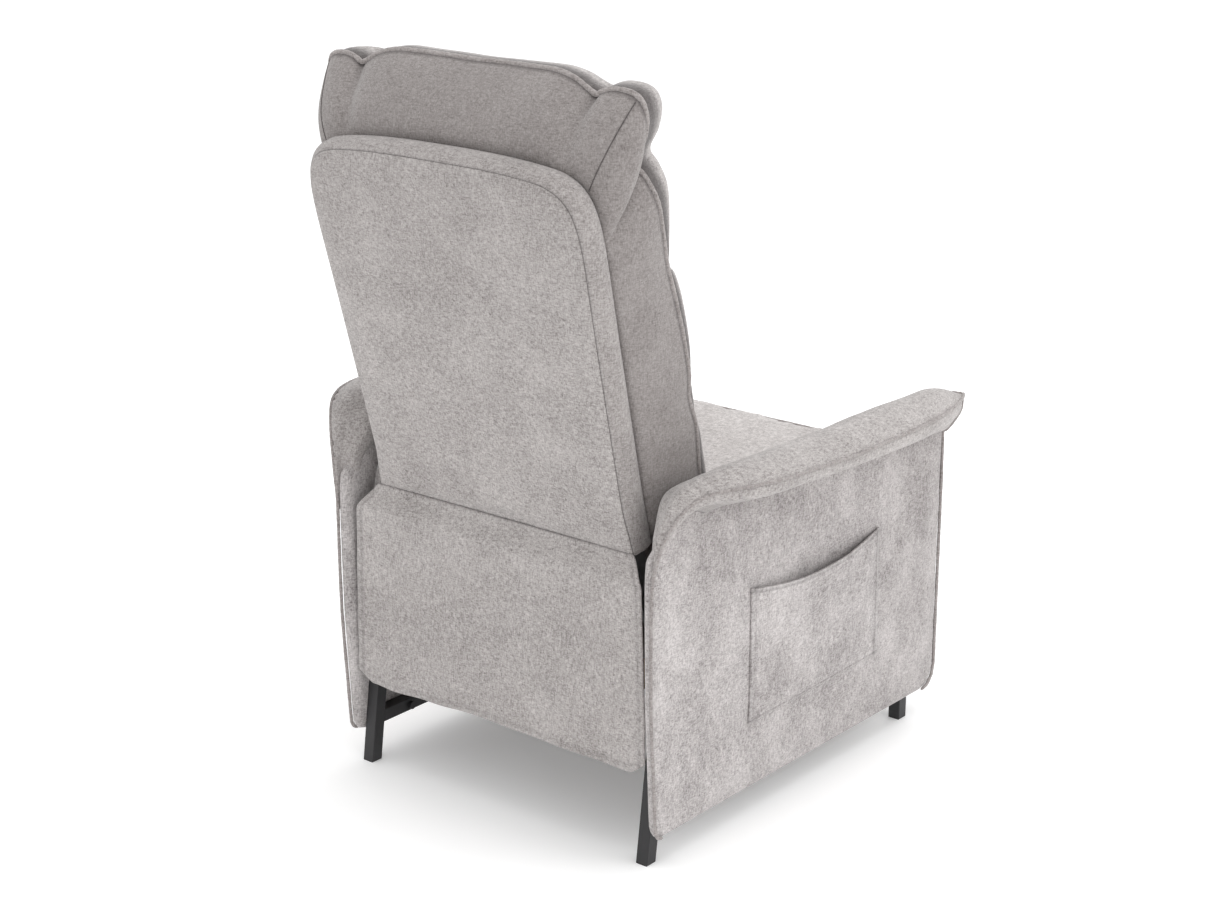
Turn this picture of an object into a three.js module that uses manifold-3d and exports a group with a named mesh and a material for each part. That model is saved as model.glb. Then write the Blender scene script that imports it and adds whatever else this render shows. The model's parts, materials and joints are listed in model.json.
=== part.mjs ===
// Push-back recliner armchair on a black steel tube base.
// Millimetres, +Z up. The seat faces -Y, so -X is the sitter's right-hand side.
import * as THREE from 'three';
import { mergeVertices } from 'three/addons/utils/BufferGeometryUtils.js';
import Module from 'manifold-3d';

const wasm = await Module();
wasm.setup();

// ---- Driving dimensions -------------------------------------------------------------------
const SEAT_WIDTH = 500;          // between the inner faces of the two arms
const DECK_HEIGHT = 255;         // top of the legs, where the arm rails lie
const SEAT_DEPTH = 572;          // seat cushion, front to rear
const SEAT_FRONT = -382;         // front of the seat cushion
const CUSHION_THICK = 130;       // seat cushion
const ARM_FRONT = -384;          // front face of the arms
const ARM_REAR = 334;            // rear edge of the side panels
const ARM_TOP = 296;             // lip of the arm roll above the deck
const PANEL_BOTTOM = 45;         // side panel's lower edge above the floor
const PANEL_THICK = 16.7;        // upholstered side panel
const FLARE_REACH = 96;          // how far the arm roll stands out beyond the side panel
const TUBE = 20;                 // square steel tube of the legs and low rails
const FOOT_SPAN = 636.2;         // between the rear faces of the front and rear feet
const REAR_LEG_LEAN = 7.8;       // degrees, the foot stands further back than the top
const LOW_RAIL_HEIGHT = 58;      // underside of the low rail
const CROSS_TUBE = 25;           // square tube between the two sides
const BACK_TILT = 14.2;          // degrees, upright position
const BACK_HEIGHT = 530;         // outer back, along its slope
const BACK_FOOT_Y = 303.9;       // lower rear edge of the outer back
const BACK_FOOT_RISE = 186.2;    // that edge above the deck
const BACK_THICK = 44;           // outer back
const PILLOW_HEIGHT = 650;       // back cushion, along its slope
const PILLOW_DROP = 25;          // how far it reaches below the outer back
const PILLOW_THICK = 158;        // back cushion, with its front crown
const FLAP_HEM_RISE = 144;       // hem of the rear flap above the floor
const LINK_LENGTH = 190;         // carrying links of the footrest
const LINK_WIDTH = 20;
const PLATE = 4;                 // steel of the links and brackets
const FOOTREST_HEIGHT = 210;     // footrest board while it hangs closed
const FOOTREST_THICK = 60;       // board and pad together
const POCKET_WIDTH = 321;
const POCKET_HEIGHT = 203;
const POCKET_BOTTOM = 150;
const POCKET_DEPTH = 8;          // room behind the pocket's cloth

// ---- Clearances ---------------------------------------------------------------------------
const SEAM = 0.3;                // between pieces that bear on each other
const LAYER = 1;                 // between the faces of two moving links
const ARM_CLEAR = 4;             // seat cushion to arm
const BACK_CLEAR = 14;           // foot of the outer back to arm
const PIN_CLEAR = 0.3;           // pin to hole, all round

// ---- Places worked out from them ----------------------------------------------------------
const armInner = SEAT_WIDTH / 2;
const legInner = armInner + 4.2;
const legOuter = legInner + TUBE;
const panelInner = legOuter + SEAM;
const panelOuter = panelInner + PANEL_THICK;
const railInner = armInner - 3.7;
const rearFoot = FOOT_SPAN / 2;
const lean = Math.tan(THREE.MathUtils.degToRad(REAR_LEG_LEAN));
const sidePlateInner = armInner - 38;
const linkPitch = PLATE + LAYER;
const seatRailOuter = sidePlateInner - SEAM;
const seatRear = SEAT_FRONT + SEAT_DEPTH;
const cushionBottom = DECK_HEIGHT + 45.4;
const seatRailBottom = DECK_HEIGHT + 3;
const seatRailTop = DECK_HEIGHT + 41;

// Layers of the footrest linkage on each side, counted outwards from the side plate.
const layerOf = (count) => sidePlateInner + count * linkPitch;

// Pivots of the footrest linkage, as places in the side view (y forwards is negative).
const liftPivot = new THREE.Vector2(-200, DECK_HEIGHT + 15);
const steerPivot = new THREE.Vector2(-285.7, DECK_HEIGHT + 25.6);
const boardPivot = new THREE.Vector2(-305, DECK_HEIGHT - 5);
const boardSteerPivot = new THREE.Vector2(-305, DECK_HEIGHT - 65);
const STEER_JOINT_SHARE = 0.3;   // where the steering link meets the upper carrying link
const STEER_REACH = 1.376;       // the steering link's length over the stretch to that joint
const hingePivot = new THREE.Vector2(235, DECK_HEIGHT + 75);

// ---- Finishes -----------------------------------------------------------------------------
const finishes = {
  fabric: { color: 0xb4afad, roughness: 0.95, metalness: 0 },
  blackSteel: { color: 0x18181a, roughness: 0.45, metalness: 0.4 },
  zincSteel: { color: 0x8d9092, roughness: 0.38, metalness: 0.9 },
  springWire: { color: 0x3b3d40, roughness: 0.4, metalness: 0.85 },
  beech: { color: 0xb58a5c, roughness: 0.7, metalness: 0 },
  plywood: { color: 0xa98658, roughness: 0.75, metalness: 0 },
  nylon: { color: 0x202124, roughness: 0.5, metalness: 0 },
};

const chair = new THREE.Group();

function addPiece(name, geometry, finish, parent = chair) {
  const mesh = new THREE.Mesh(geometry, new THREE.MeshStandardMaterial(finishes[finish]));
  mesh.name = name;
  parent.add(mesh);
  return mesh;
}

// ---- Shared shape functions ---------------------------------------------------------------
function toSolid(geometry) {
  const bare = geometry.clone();
  bare.deleteAttribute('normal');
  bare.deleteAttribute('uv');
  const merged = mergeVertices(bare, 1e-3);
  const vertProperties = Float32Array.from(merged.attributes.position.array);
  const triVerts = Uint32Array.from(merged.index.array);
  return new wasm.Manifold(new wasm.Mesh({ numProp: 3, vertProperties, triVerts }));
}

function toGeometry(solid) {
  const mesh = solid.getMesh();
  const geometry = new THREE.BufferGeometry();
  geometry.setAttribute('position', new THREE.BufferAttribute(mesh.vertProperties, 3));
  geometry.setIndex(new THREE.BufferAttribute(mesh.triVerts, 1));
  return geometry;
}

function cut(geometry, ...tools) {
  let solid = toSolid(geometry);
  for (const tool of tools) solid = solid.subtract(toSolid(tool));
  return toGeometry(solid);
}

function join(geometry, ...others) {
  let solid = toSolid(geometry);
  for (const other of others) solid = solid.add(toSolid(other));
  return toGeometry(solid);
}

function box(low, high) {
  const geometry = new THREE.BoxGeometry(high[0] - low[0], high[1] - low[1], high[2] - low[2]);
  return geometry.translate((low[0] + high[0]) / 2, (low[1] + high[1]) / 2, (low[2] + high[2]) / 2);
}

// A shape drawn in the side view (Y across, Z up), given thickness along X.
const sideView = new THREE.Matrix4().set(0, 0, 1, 0, 1, 0, 0, 0, 0, 1, 0, 0, 0, 0, 0, 1);

function sidePlate(shape, side, inner, thickness, bevel = 0) {
  const options = { depth: thickness - 2 * bevel, curveSegments: 8, bevelEnabled: bevel > 0 };
  Object.assign(options, { bevelSize: bevel, bevelThickness: bevel, bevelOffset: -bevel, bevelSegments: 3 });
  const start = side > 0 ? inner : -inner - thickness;
  return new THREE.ExtrudeGeometry(shape, options).applyMatrix4(sideView).translate(start + bevel, 0, 0);
}

// A pin or disc along X, centred on a place in the side view.
function crossPin(place, side, inner, length, radius, sides = 16) {
  const pin = new THREE.CylinderGeometry(radius, radius, length, sides).rotateZ(Math.PI / 2);
  return pin.translate(side * (inner + length / 2), place.x, place.y);
}

// A closed outline through corner points, each corner rounded by its own radius.
function roundedShape(corners) {
  const shape = new THREE.Shape();
  const count = corners.length;
  corners.forEach(([x, y, radius = 0], i) => {
    const here = new THREE.Vector2(x, y);
    const before = new THREE.Vector2(...corners[(i + count - 1) % count]);
    const after = new THREE.Vector2(...corners[(i + 1) % count]);
    const enter = before.sub(here).setLength(radius).add(here);
    const leave = after.sub(here).setLength(radius).add(here);
    if (i === 0) shape.moveTo(enter.x, enter.y);
    else shape.lineTo(enter.x, enter.y);
    if (radius > 0) shape.quadraticCurveTo(x, y, leave.x, leave.y);
  });
  shape.closePath();
  return shape;
}

// A bar with round ends between two places in the side view.
function barShape(from, to, width) {
  const along = Math.atan2(to.y - from.y, to.x - from.x);
  const shape = new THREE.Shape();
  shape.absarc(to.x, to.y, width / 2, along - Math.PI / 2, along + Math.PI / 2, false);
  shape.absarc(from.x, from.y, width / 2, along + Math.PI / 2, along + 1.5 * Math.PI, false);
  shape.closePath();
  return shape;
}

// A solid skinned over closed rings with equal numbers of points, capped at both ends.
function loft(rings) {
  const count = rings[0].length;
  const position = rings.flat(2);
  const index = [];
  for (let r = 0; r < rings.length - 1; r += 1) {
    for (let i = 0; i < count; i += 1) {
      const a = r * count + i;
      const b = r * count + ((i + 1) % count);
      index.push(a, b, a + count, b, b + count, a + count);
    }
  }
  const caps = [[rings[0], 0, false], [rings.at(-1), (rings.length - 1) * count, true]];
  for (const [ring, start, flip] of caps) {
    const outline = ring.map((p) => new THREE.Vector2(p[0], p[2]));
    for (const face of THREE.ShapeUtils.triangulateShape(outline, [])) {
      const [a, b, c] = face.map((i) => i + start);
      index.push(...(flip ? [a, c, b] : [a, b, c]));
    }
  }
  const geometry = new THREE.BufferGeometry();
  geometry.setAttribute('position', new THREE.Float32BufferAttribute(position, 3));
  geometry.setIndex(index);
  return geometry;
}

// The same solid on the other side of the middle plane, its faces still pointing outwards.
function mirrored(geometry) {
  const other = geometry.clone().scale(-1, 1, 1);
  const index = other.index.array;
  for (let i = 0; i < index.length; i += 3) {
    const first = index[i];
    index[i] = index[i + 1];
    index[i + 1] = first;
  }
  return other;
}

const sides = [['left', 1], ['right', -1]];

// ---- Base: legs, rails and cross tubes ----------------------------------------------------
const TUBE_EDGE = 1.2;           // bevel along the sides of the square tube

function rearFaceAt(height) {
  return rearFoot - lean * height;
}

function addLegs(name, side) {
  const top = DECK_HEIGHT - SEAM;
  const rear = roundedShape([
    [rearFoot - TUBE, 0], [rearFoot, 0], [rearFaceAt(top), top], [rearFaceAt(top) - TUBE, top],
  ]);
  addPiece(`rear_leg_${name}`, sidePlate(rear, side, legInner, TUBE, TUBE_EDGE), 'blackSteel');
  const front = roundedShape([
    [-rearFoot - TUBE, 0], [-rearFoot, 0], [-rearFoot, top], [-rearFoot - TUBE, top],
  ]);
  addPiece(`front_leg_${name}`, sidePlate(front, side, legInner, TUBE, TUBE_EDGE), 'blackSteel');
}

const PANEL_BOLT_YS = [-232, 232];
const PANEL_BOLT_RADIUS = 3;
const PANEL_BOLT_HEAD = 6;       // radius of the head
const PANEL_BOLT_DROP = 2;       // below the middle of the rail

function addLowRail(name, side) {
  const low = LOW_RAIL_HEIGHT;
  const high = low + TUBE;
  const outline = roundedShape([
    [-rearFoot + SEAM, low],
    [rearFaceAt(low) - TUBE - SEAM, low],
    [rearFaceAt(high) - TUBE - SEAM, high],
    [-rearFoot + SEAM, high],
  ]);
  const rail = sidePlate(outline, side, legInner, TUBE, TUBE_EDGE);
  const boltHeight = low + TUBE / 2 - PANEL_BOLT_DROP;
  const places = PANEL_BOLT_YS.map((y) => new THREE.Vector2(y, boltHeight));
  const holeRadius = PANEL_BOLT_RADIUS + PIN_CLEAR;
  const holes = places.map((place) => crossPin(place, side, legInner - 1, TUBE + 2, holeRadius));
  addPiece(`low_rail_${name}`, cut(rail, ...holes), 'blackSteel');
  places.forEach((place, i) => {
    const head = crossPin(place, side, legInner - SEAM - PLATE, PLATE, PANEL_BOLT_HEAD);
    const shank = crossPin(place, side, legInner - SEAM - 1, TUBE + 1, PANEL_BOLT_RADIUS);
    addPiece(`panel_bolt_${name}_${i + 1}`, join(head, shank), 'blackSteel');
  });
}

const ARM_RAIL_HEIGHT = 40;
const ARM_RAIL_REAR = 300;

function addArmRail(name, side) {
  const width = legOuter - SEAM - railInner;
  const start = side > 0 ? railInner : -railInner - width;
  const low = [start, -rearFoot - TUBE, DECK_HEIGHT];
  const high = [start + width, ARM_RAIL_REAR, DECK_HEIGHT + ARM_RAIL_HEIGHT];
  addPiece(`arm_rail_${name}`, box(low, high), 'beech');
}

const CROSS_TUBE_YS = { front: -137.5, rear: 212.5 };

function addCrossTubes() {
  for (const [name, y] of Object.entries(CROSS_TUBE_YS)) {
    const reach = legOuter - SEAM;
    const top = DECK_HEIGHT - SEAM;
    const tube = box([-reach, y - CROSS_TUBE / 2, top - CROSS_TUBE], [reach, y + CROSS_TUBE / 2, top]);
    addPiece(`cross_tube_${name}`, tube, 'blackSteel');
  }
}

const ROLLER_YS = [-110, 150];
const ROLLER_RADIUS = 13.7;
const CHANNEL_WALL = 3;
const CHANNEL_ENDS = [-175, 190];
const CHANNEL_INNER = sidePlateInner + 10;   // the channel's open side, clear of the side plate

function addGuideChannel(name, side) {
  const web = railInner - SEAM;
  const bottom = DECK_HEIGHT;
  const top = bottom + 2 * (ROLLER_RADIUS + SEAM + CHANNEL_WALL);
  const [front, rear] = CHANNEL_ENDS;
  const outline = new THREE.Shape();
  outline.moveTo(front, bottom);
  outline.lineTo(rear, bottom);
  outline.lineTo(rear, top);
  outline.lineTo(front, top);
  outline.closePath();
  const bar = sidePlate(outline, side, CHANNEL_INNER, web - CHANNEL_INNER);
  const roomOutline = new THREE.Shape();
  roomOutline.moveTo(front - 1, bottom + CHANNEL_WALL);
  roomOutline.lineTo(rear + 1, bottom + CHANNEL_WALL);
  roomOutline.lineTo(rear + 1, top - CHANNEL_WALL);
  roomOutline.lineTo(front - 1, top - CHANNEL_WALL);
  roomOutline.closePath();
  const room = sidePlate(roomOutline, side, CHANNEL_INNER - 1, web - CHANNEL_WALL - CHANNEL_INNER + 1);
  addPiece(`guide_channel_${name}`, cut(bar, room), 'zincSteel');
}

// ---- Arms: side panel, roll and pocket ----------------------------------------------------
const LIP_REAR_START = 215;      // where the lip begins to turn down to the rear edge
const LIP_REAR_DROP = 142;
const FLARE_FULL = [-120, 150];  // between these the roll has its full reach
const FLARE_TAPER = 300;         // length of the ellipse its front end tapers along
const LIP_DIP = 10;              // the lip's middle below ARM_TOP
const LIP_FRONT_FALL = 6;        // the lip's fall towards the front, along LIP_FRONT_RUN
const LIP_FRONT_RUN = 260;
const LIP_REAR_RISE = 11;        // its rise towards the rear bend
const CREASE_RISE = 209;         // fold between panel and roll above the deck, at the front
const CREASE_REAR_RISE = 30;     // further rise of the fold on its way to CREASE_TURN
const CREASE_TURN = 227;
const CREASE_END_DROP = 37;      // fall of the fold beyond its turn, along CREASE_END_RUN
const CREASE_END_RUN = 96;
const ROLL_STATIONS = [
  ARM_FRONT, -376, -360, -330, -280, -220, -120, 0, 150, 200, 240, 265, 283, 295, 303,
];

function flareAt(y) {
  const [front, rear] = FLARE_FULL;
  const beyondRear = (y - rear) / (ARM_REAR - rear);
  const beyondFront = (front - y) / FLARE_TAPER;
  const past = Math.max(0, beyondRear, beyondFront);
  return FLARE_REACH * Math.max(0, 1 - past * past) ** 0.75;
}

function lipAt(y) {
  const top = DECK_HEIGHT + ARM_TOP - LIP_DIP;
  const forward = Math.max(0, (FLARE_FULL[0] - y) / LIP_FRONT_RUN);
  if (y <= 0) return top - LIP_FRONT_FALL * forward ** 2;
  const rise = LIP_REAR_RISE * Math.min(1, y / LIP_REAR_START);
  const past = Math.max(0, (y - LIP_REAR_START) / (ARM_REAR - LIP_REAR_START));
  return top + rise - LIP_REAR_DROP * (1 - Math.sqrt(Math.max(0, 1 - past ** 5)));
}

function creaseAt(y) {
  const start = DECK_HEIGHT + CREASE_RISE;
  const rise = CREASE_REAR_RISE * THREE.MathUtils.smoothstep(y, ARM_FRONT, CREASE_TURN);
  return start + rise - CREASE_END_DROP * Math.max(0, (y - CREASE_TURN) / CREASE_END_RUN) ** 2;
}

function addArmPanel(name, side) {
  const rollEnd = ROLL_STATIONS.at(-1);
  const outline = new THREE.Shape();
  outline.moveTo(ARM_FRONT + 28, PANEL_BOTTOM);
  outline.lineTo(ARM_REAR - 40, PANEL_BOTTOM);
  outline.quadraticCurveTo(ARM_REAR - 14, PANEL_BOTTOM, ARM_REAR - 10, PANEL_BOTTOM + 34);
  outline.quadraticCurveTo(ARM_REAR, PANEL_BOTTOM + 140, ARM_REAR, DECK_HEIGHT + 60);
  outline.lineTo(ARM_REAR, DECK_HEIGHT + 150);
  outline.quadraticCurveTo(ARM_REAR, DECK_HEIGHT + 190, rollEnd, creaseAt(rollEnd));
  for (const y of ROLL_STATIONS.slice(0, -1).reverse()) outline.lineTo(y, creaseAt(y));
  outline.lineTo(ARM_FRONT, PANEL_BOTTOM + 28);
  outline.quadraticCurveTo(ARM_FRONT, PANEL_BOTTOM, ARM_FRONT + 28, PANEL_BOTTOM);
  addPiece(`arm_panel_${name}`, sidePlate(outline, side, panelInner, PANEL_THICK), 'fabric');
}

const CROWN_RISE = 25;           // top of the roll above its lip
const CROWN_FRONT_DROP = 22;     // the roll thins at its front end, from CROWN_FRONT_START on
const CROWN_FRONT_START = -310;
// Inner edge and top of the roll: out from the arm's inner face, down from the crown.
const ROLL_INNER_EDGE = [[0, 40], [5, 18], [20, 5], [46, 0]];
const ROLL_LIP_THICK = 9;        // from the lip to where the underside turns back
// Outer side: shares of the flare's reach for the crown's edge, shoulder, lip's underside and belly.
const ROLL_SHARES = { edge: 0.55, shoulder: 0.86, under: 0.95, belly: 0.4 };
const BELLY_RISE_SHARE = 0.3;    // the belly's height, as a share from the fold up to the lip

function rollRing(y) {
  const bottom = DECK_HEIGHT + ARM_RAIL_HEIGHT + SEAM;
  const boardSide = legOuter - SEAM;
  const reach = flareAt(y);
  const lip = lipAt(y);
  const fold = creaseAt(y) + SEAM;
  const forward = (CROWN_FRONT_START - y) / (CROWN_FRONT_START - ARM_FRONT);
  const crown = lip + CROWN_RISE - CROWN_FRONT_DROP * Math.max(0, forward) ** 3;
  const points = [
    [armInner, bottom],
    ...ROLL_INNER_EDGE.map(([out, down]) => [armInner + out, crown - down]),
    [panelOuter + reach * ROLL_SHARES.edge, crown - 8],
    [panelOuter + reach * ROLL_SHARES.shoulder, (crown + lip) / 2],
    [panelOuter + reach + 1, lip],
    [panelOuter + reach * ROLL_SHARES.under, lip - ROLL_LIP_THICK],
    [panelOuter + reach * ROLL_SHARES.belly, fold + (lip - fold) * BELLY_RISE_SHARE],
    [panelOuter, fold],
    [boardSide, fold],
    [boardSide, bottom],
  ];
  return points.map(([x, z]) => [x, y, z]);
}

function addArmRoll(name, side) {
  const rings = ROLL_STATIONS.map(rollRing);
  const roll = loft(rings);
  addPiece(`arm_roll_${name}`, side > 0 ? roll : mirrored(roll), 'fabric');
}

const POCKET_FRONT = -214;
const POCKET_CLOTH = 3;

function addPocket() {
  const inner = panelOuter + SEAM;
  const outer = inner + POCKET_DEPTH + POCKET_CLOTH;
  const rear = POCKET_FRONT + POCKET_WIDTH;
  const top = POCKET_BOTTOM + POCKET_HEIGHT;
  const whole = box([-outer, POCKET_FRONT, POCKET_BOTTOM], [-inner, rear, top]);
  const room = box(
    [-inner - POCKET_DEPTH, POCKET_FRONT + POCKET_CLOTH, POCKET_BOTTOM + POCKET_CLOTH],
    [-inner + 1, rear - POCKET_CLOTH, top + 1],
  );
  addPiece('side_pocket', cut(whole, room), 'fabric');
}

// ---- Seat: side plates, rails, springs, cushion and rollers -------------------------------
const HINGE_PIN_RADIUS = 6;
const ROLLER_AXLE_RADIUS = 5;
const LINK_PIN_RADIUS = 5;
const rollerHeight = DECK_HEIGHT + CHANNEL_WALL + ROLLER_RADIUS + SEAM;
const rollerPlaces = ROLLER_YS.map((y) => new THREE.Vector2(y, rollerHeight));
const SIDE_PLATE_FRONT = -305;
const HINGE_ARM = { behind: 24, ahead: 30, above: 22 };   // side plate round the hinge pivot

function addSidePlate(name, side) {
  const armFront = hingePivot.x - HINGE_ARM.ahead;
  const armRear = hingePivot.x + HINGE_ARM.behind;
  const armTop = hingePivot.y + HINGE_ARM.above;
  const outline = roundedShape([
    [SIDE_PLATE_FRONT, seatRailBottom, 8], [armRear, seatRailBottom, 12],
    [armRear, armTop, 20], [armFront, armTop, 18],
    [armFront, seatRailTop, 8], [SIDE_PLATE_FRONT, seatRailTop, 12],
  ]);
  const plate = sidePlate(outline, side, sidePlateInner, PLATE);
  const hole = (place, radius) => (
    crossPin(place, side, sidePlateInner - 1, PLATE + 2, radius + PIN_CLEAR));
  const holes = [
    hole(hingePivot, HINGE_PIN_RADIUS),
    ...rollerPlaces.map((place) => hole(place, ROLLER_AXLE_RADIUS)),
    hole(liftPivot, LINK_PIN_RADIUS),
    hole(steerPivot, LINK_PIN_RADIUS),
  ];
  addPiece(`seat_side_plate_${name}`, cut(plate, ...holes), 'zincSteel');
}

const BOLT_HEAD = { radius: 11, thick: 5, bite: 3 };      // bite: the shank's reach into a head

function addHingeBolt(name, side) {
  const gripEnd = sidePlateInner + linkPitch + PLATE;
  const innerHeadStart = sidePlateInner - SEAM - BOLT_HEAD.thick;
  const innerHead = crossPin(hingePivot, side, innerHeadStart, BOLT_HEAD.thick, BOLT_HEAD.radius, 6);
  const shankStart = sidePlateInner - BOLT_HEAD.bite;
  const shankLength = gripEnd - sidePlateInner + 2 * BOLT_HEAD.bite;
  const shank = crossPin(hingePivot, side, shankStart, shankLength, HINGE_PIN_RADIUS);
  const outerHead = crossPin(hingePivot, side, gripEnd + SEAM, BOLT_HEAD.thick, BOLT_HEAD.radius);
  addPiece(`hinge_bolt_${name}`, join(innerHead, shank, outerHead), 'zincSteel');
}

const TYRE_START = sidePlateInner + 7;
const TYRE_SIDE_CLEAR = 2;       // tyre to the channel's web
const AXLE_LENGTH = 8;
const PIN_BITE = 0.2;            // an axle or rivet starts this far inside the plate it turns in

function addRollers(name, side) {
  rollerPlaces.forEach((place, i) => {
    const tyreWidth = railInner - SEAM - CHANNEL_WALL - TYRE_SIDE_CLEAR - TYRE_START;
    const tyre = crossPin(place, side, TYRE_START, tyreWidth, ROLLER_RADIUS, 28);
    const axle = crossPin(place, side, sidePlateInner + PIN_BITE, AXLE_LENGTH, ROLLER_AXLE_RADIUS);
    addPiece(`guide_roller_${name}_${i + 1}`, join(tyre, axle), 'nylon');
  });
}

const SEAT_RAIL_THICK = 25.7;
const SEAT_RAIL_FRONT = -318;
const SEAT_RAIL_REAR = 175;

function addSeatRails() {
  const inner = seatRailOuter - SEAT_RAIL_THICK;
  for (const [name, side] of sides) {
    const low = side > 0 ? inner : -seatRailOuter;
    const high = low + SEAT_RAIL_THICK;
    const rail = box([low, SEAT_RAIL_FRONT, seatRailBottom], [high, SEAT_RAIL_REAR, seatRailTop]);
    addPiece(`seat_rail_${name}`, rail, 'beech');
  }
  const ends = { front: SEAT_RAIL_FRONT, rear: SEAT_RAIL_REAR - SEAT_RAIL_THICK };
  for (const [name, y] of Object.entries(ends)) {
    const reach = inner - SEAM;
    const rail = box([-reach, y, seatRailBottom], [reach, y + SEAT_RAIL_THICK, seatRailTop]);
    addPiece(`seat_rail_${name}`, rail, 'beech');
  }
}

// Sinuous spring wire: it runs from one place to another in short side-to-side bends.
function springWire(length, swing, bends, radius) {
  const points = [new THREE.Vector3(0, 0, 0)];
  for (let i = 0; i < bends; i += 1) {
    const along = length * ((i + 1) / (bends + 1));
    const across = swing * (i % 2 ? -1 : 1);
    points.push(new THREE.Vector3(across, along, 0));
  }
  points.push(new THREE.Vector3(0, length, 0));
  const path = new THREE.CatmullRomCurve3(points, false, 'catmullrom', 0.6);
  const section = new THREE.Shape();
  section.absarc(0, 0, radius, 0, 2 * Math.PI, false);
  const options = { steps: bends * 6, curveSegments: 3, bevelEnabled: false, extrudePath: path };
  return new THREE.ExtrudeGeometry(section, options);
}

const SPRING_RADIUS = 1.9;
const SPRING_END = 8;            // from the end of a spring to the outside of its rail
const SEAT_SPRING_COUNT = 3;
const SEAT_SPRING_SHARE = 1 / 4.2;   // spacing of the springs, of the seat's width

function addSeatSprings() {
  const length = SEAT_RAIL_REAR - SEAT_RAIL_FRONT - 2 * SPRING_END;
  const spacing = SEAT_WIDTH * SEAT_SPRING_SHARE;
  for (let i = 0; i < SEAT_SPRING_COUNT; i += 1) {
    const x = (i - (SEAT_SPRING_COUNT - 1) / 2) * spacing;
    const wire = springWire(length, 22, 13, SPRING_RADIUS);
    wire.translate(x, SEAT_RAIL_FRONT + SPRING_END, seatRailTop + SPRING_RADIUS + SEAM);
    addPiece(`seat_spring_${i + 1}`, wire, 'springWire');
  }
}

function addSeatCushion() {
  const top = cushionBottom + CUSHION_THICK;
  const outline = roundedShape([
    [SEAT_FRONT, cushionBottom, 24], [seatRear, cushionBottom, 24],
    [seatRear, top - 4, 30], [SEAT_FRONT, top, 42],
  ]);
  const half = armInner - ARM_CLEAR;
  addPiece('seat_cushion', sidePlate(outline, 1, -half, 2 * half, 10), 'fabric');
}

// ---- Back: outer back, frame, springs, cushion and hinge brackets -------------------------
const back = new THREE.Group();
back.position.set(0, BACK_FOOT_Y, DECK_HEIGHT + BACK_FOOT_RISE);
back.rotation.x = THREE.MathUtils.degToRad(90 - BACK_TILT);
chair.add(back);

const backFootHalf = armInner - BACK_CLEAR;
const backShoulderHalf = backFootHalf + 11.3;
const BACK_WALL = 12;
const BACK_CORNER = 64;
const BACK_CROWN = 6;            // rise of the top edge towards its middle
const BACK_SIDE_BULGE = 9;       // the sides' swell, greatest at 0.4 of the height

// Outline of the outer back: X across, Y up the slope. An inset gives the inside of its walls.
function backOutline(inset, foot) {
  const low = backFootHalf - inset;
  const high = backShoulderHalf - inset;
  const top = BACK_HEIGHT - BACK_CROWN - inset;
  const bend = top - BACK_CORNER;
  const corner = high - BACK_CORNER;
  const swellAt = BACK_HEIGHT * 0.4;
  const shape = new THREE.Shape();
  shape.moveTo(-low, foot);
  shape.lineTo(low, foot);
  shape.quadraticCurveTo(low + BACK_SIDE_BULGE, swellAt, high, bend);
  shape.quadraticCurveTo(high - 3, top - 3, corner, top);
  shape.quadraticCurveTo(0, top + 2 * BACK_CROWN, -corner, top);
  shape.quadraticCurveTo(-high + 3, top - 3, -high, bend);
  shape.quadraticCurveTo(-low - BACK_SIDE_BULGE, swellAt, -low, foot);
  return shape;
}

function slab(shape, depth, start, segments = 10) {
  const options = { depth, curveSegments: segments, bevelEnabled: false };
  return new THREE.ExtrudeGeometry(shape, options).translate(0, 0, start);
}

const bracketInner = sidePlateInner + linkPitch;
const backFrameHalf = bracketInner - SEAM;

function addOuterBack() {
  const shell = slab(backOutline(0, 0), BACK_THICK, 0);
  const openFoot = -20;
  const room = slab(backOutline(BACK_WALL, openFoot), BACK_THICK, BACK_WALL);
  addPiece('outer_back', cut(shell, room), 'fabric', back);
}

const BACK_RAIL = 38;
const BACK_FRAME_FOOT = 16;      // frame above the foot of the outer back
const BACK_FRAME_HEADROOM = 60;  // frame below its top
const BACK_FRAME_CORNER = 30;
const LUMBAR_SHARE = 0.45;       // height of the middle rail, as a share of the frame's

function addBackFrame() {
  const foot = BACK_FRAME_FOOT;
  const top = BACK_HEIGHT - BACK_FRAME_HEADROOM;
  const shape = roundedShape([
    [-backFrameHalf, foot], [backFrameHalf, foot],
    [backFrameHalf, top, BACK_FRAME_CORNER], [-backFrameHalf, top, BACK_FRAME_CORNER],
  ]);
  const inside = backFrameHalf - BACK_RAIL;
  const lumbar = (foot + top) * LUMBAR_SHARE;
  const windows = [
    [foot + BACK_RAIL, lumbar - BACK_RAIL / 2],
    [lumbar + BACK_RAIL / 2, top - BACK_RAIL],
  ];
  for (const [low, high] of windows) {
    const hole = new THREE.Path();
    hole.moveTo(-inside, low);
    hole.lineTo(-inside, high);
    hole.lineTo(inside, high);
    hole.lineTo(inside, low);
    hole.closePath();
    shape.holes.push(hole);
  }
  const depth = BACK_THICK - BACK_WALL - 2 * SEAM - 2 * SPRING_RADIUS - 2 * SEAM;
  addPiece('back_frame', slab(shape, depth, BACK_WALL + SEAM, 4), 'beech', back);
}

const BACK_SPRING_PLACES = [140, 330];

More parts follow.
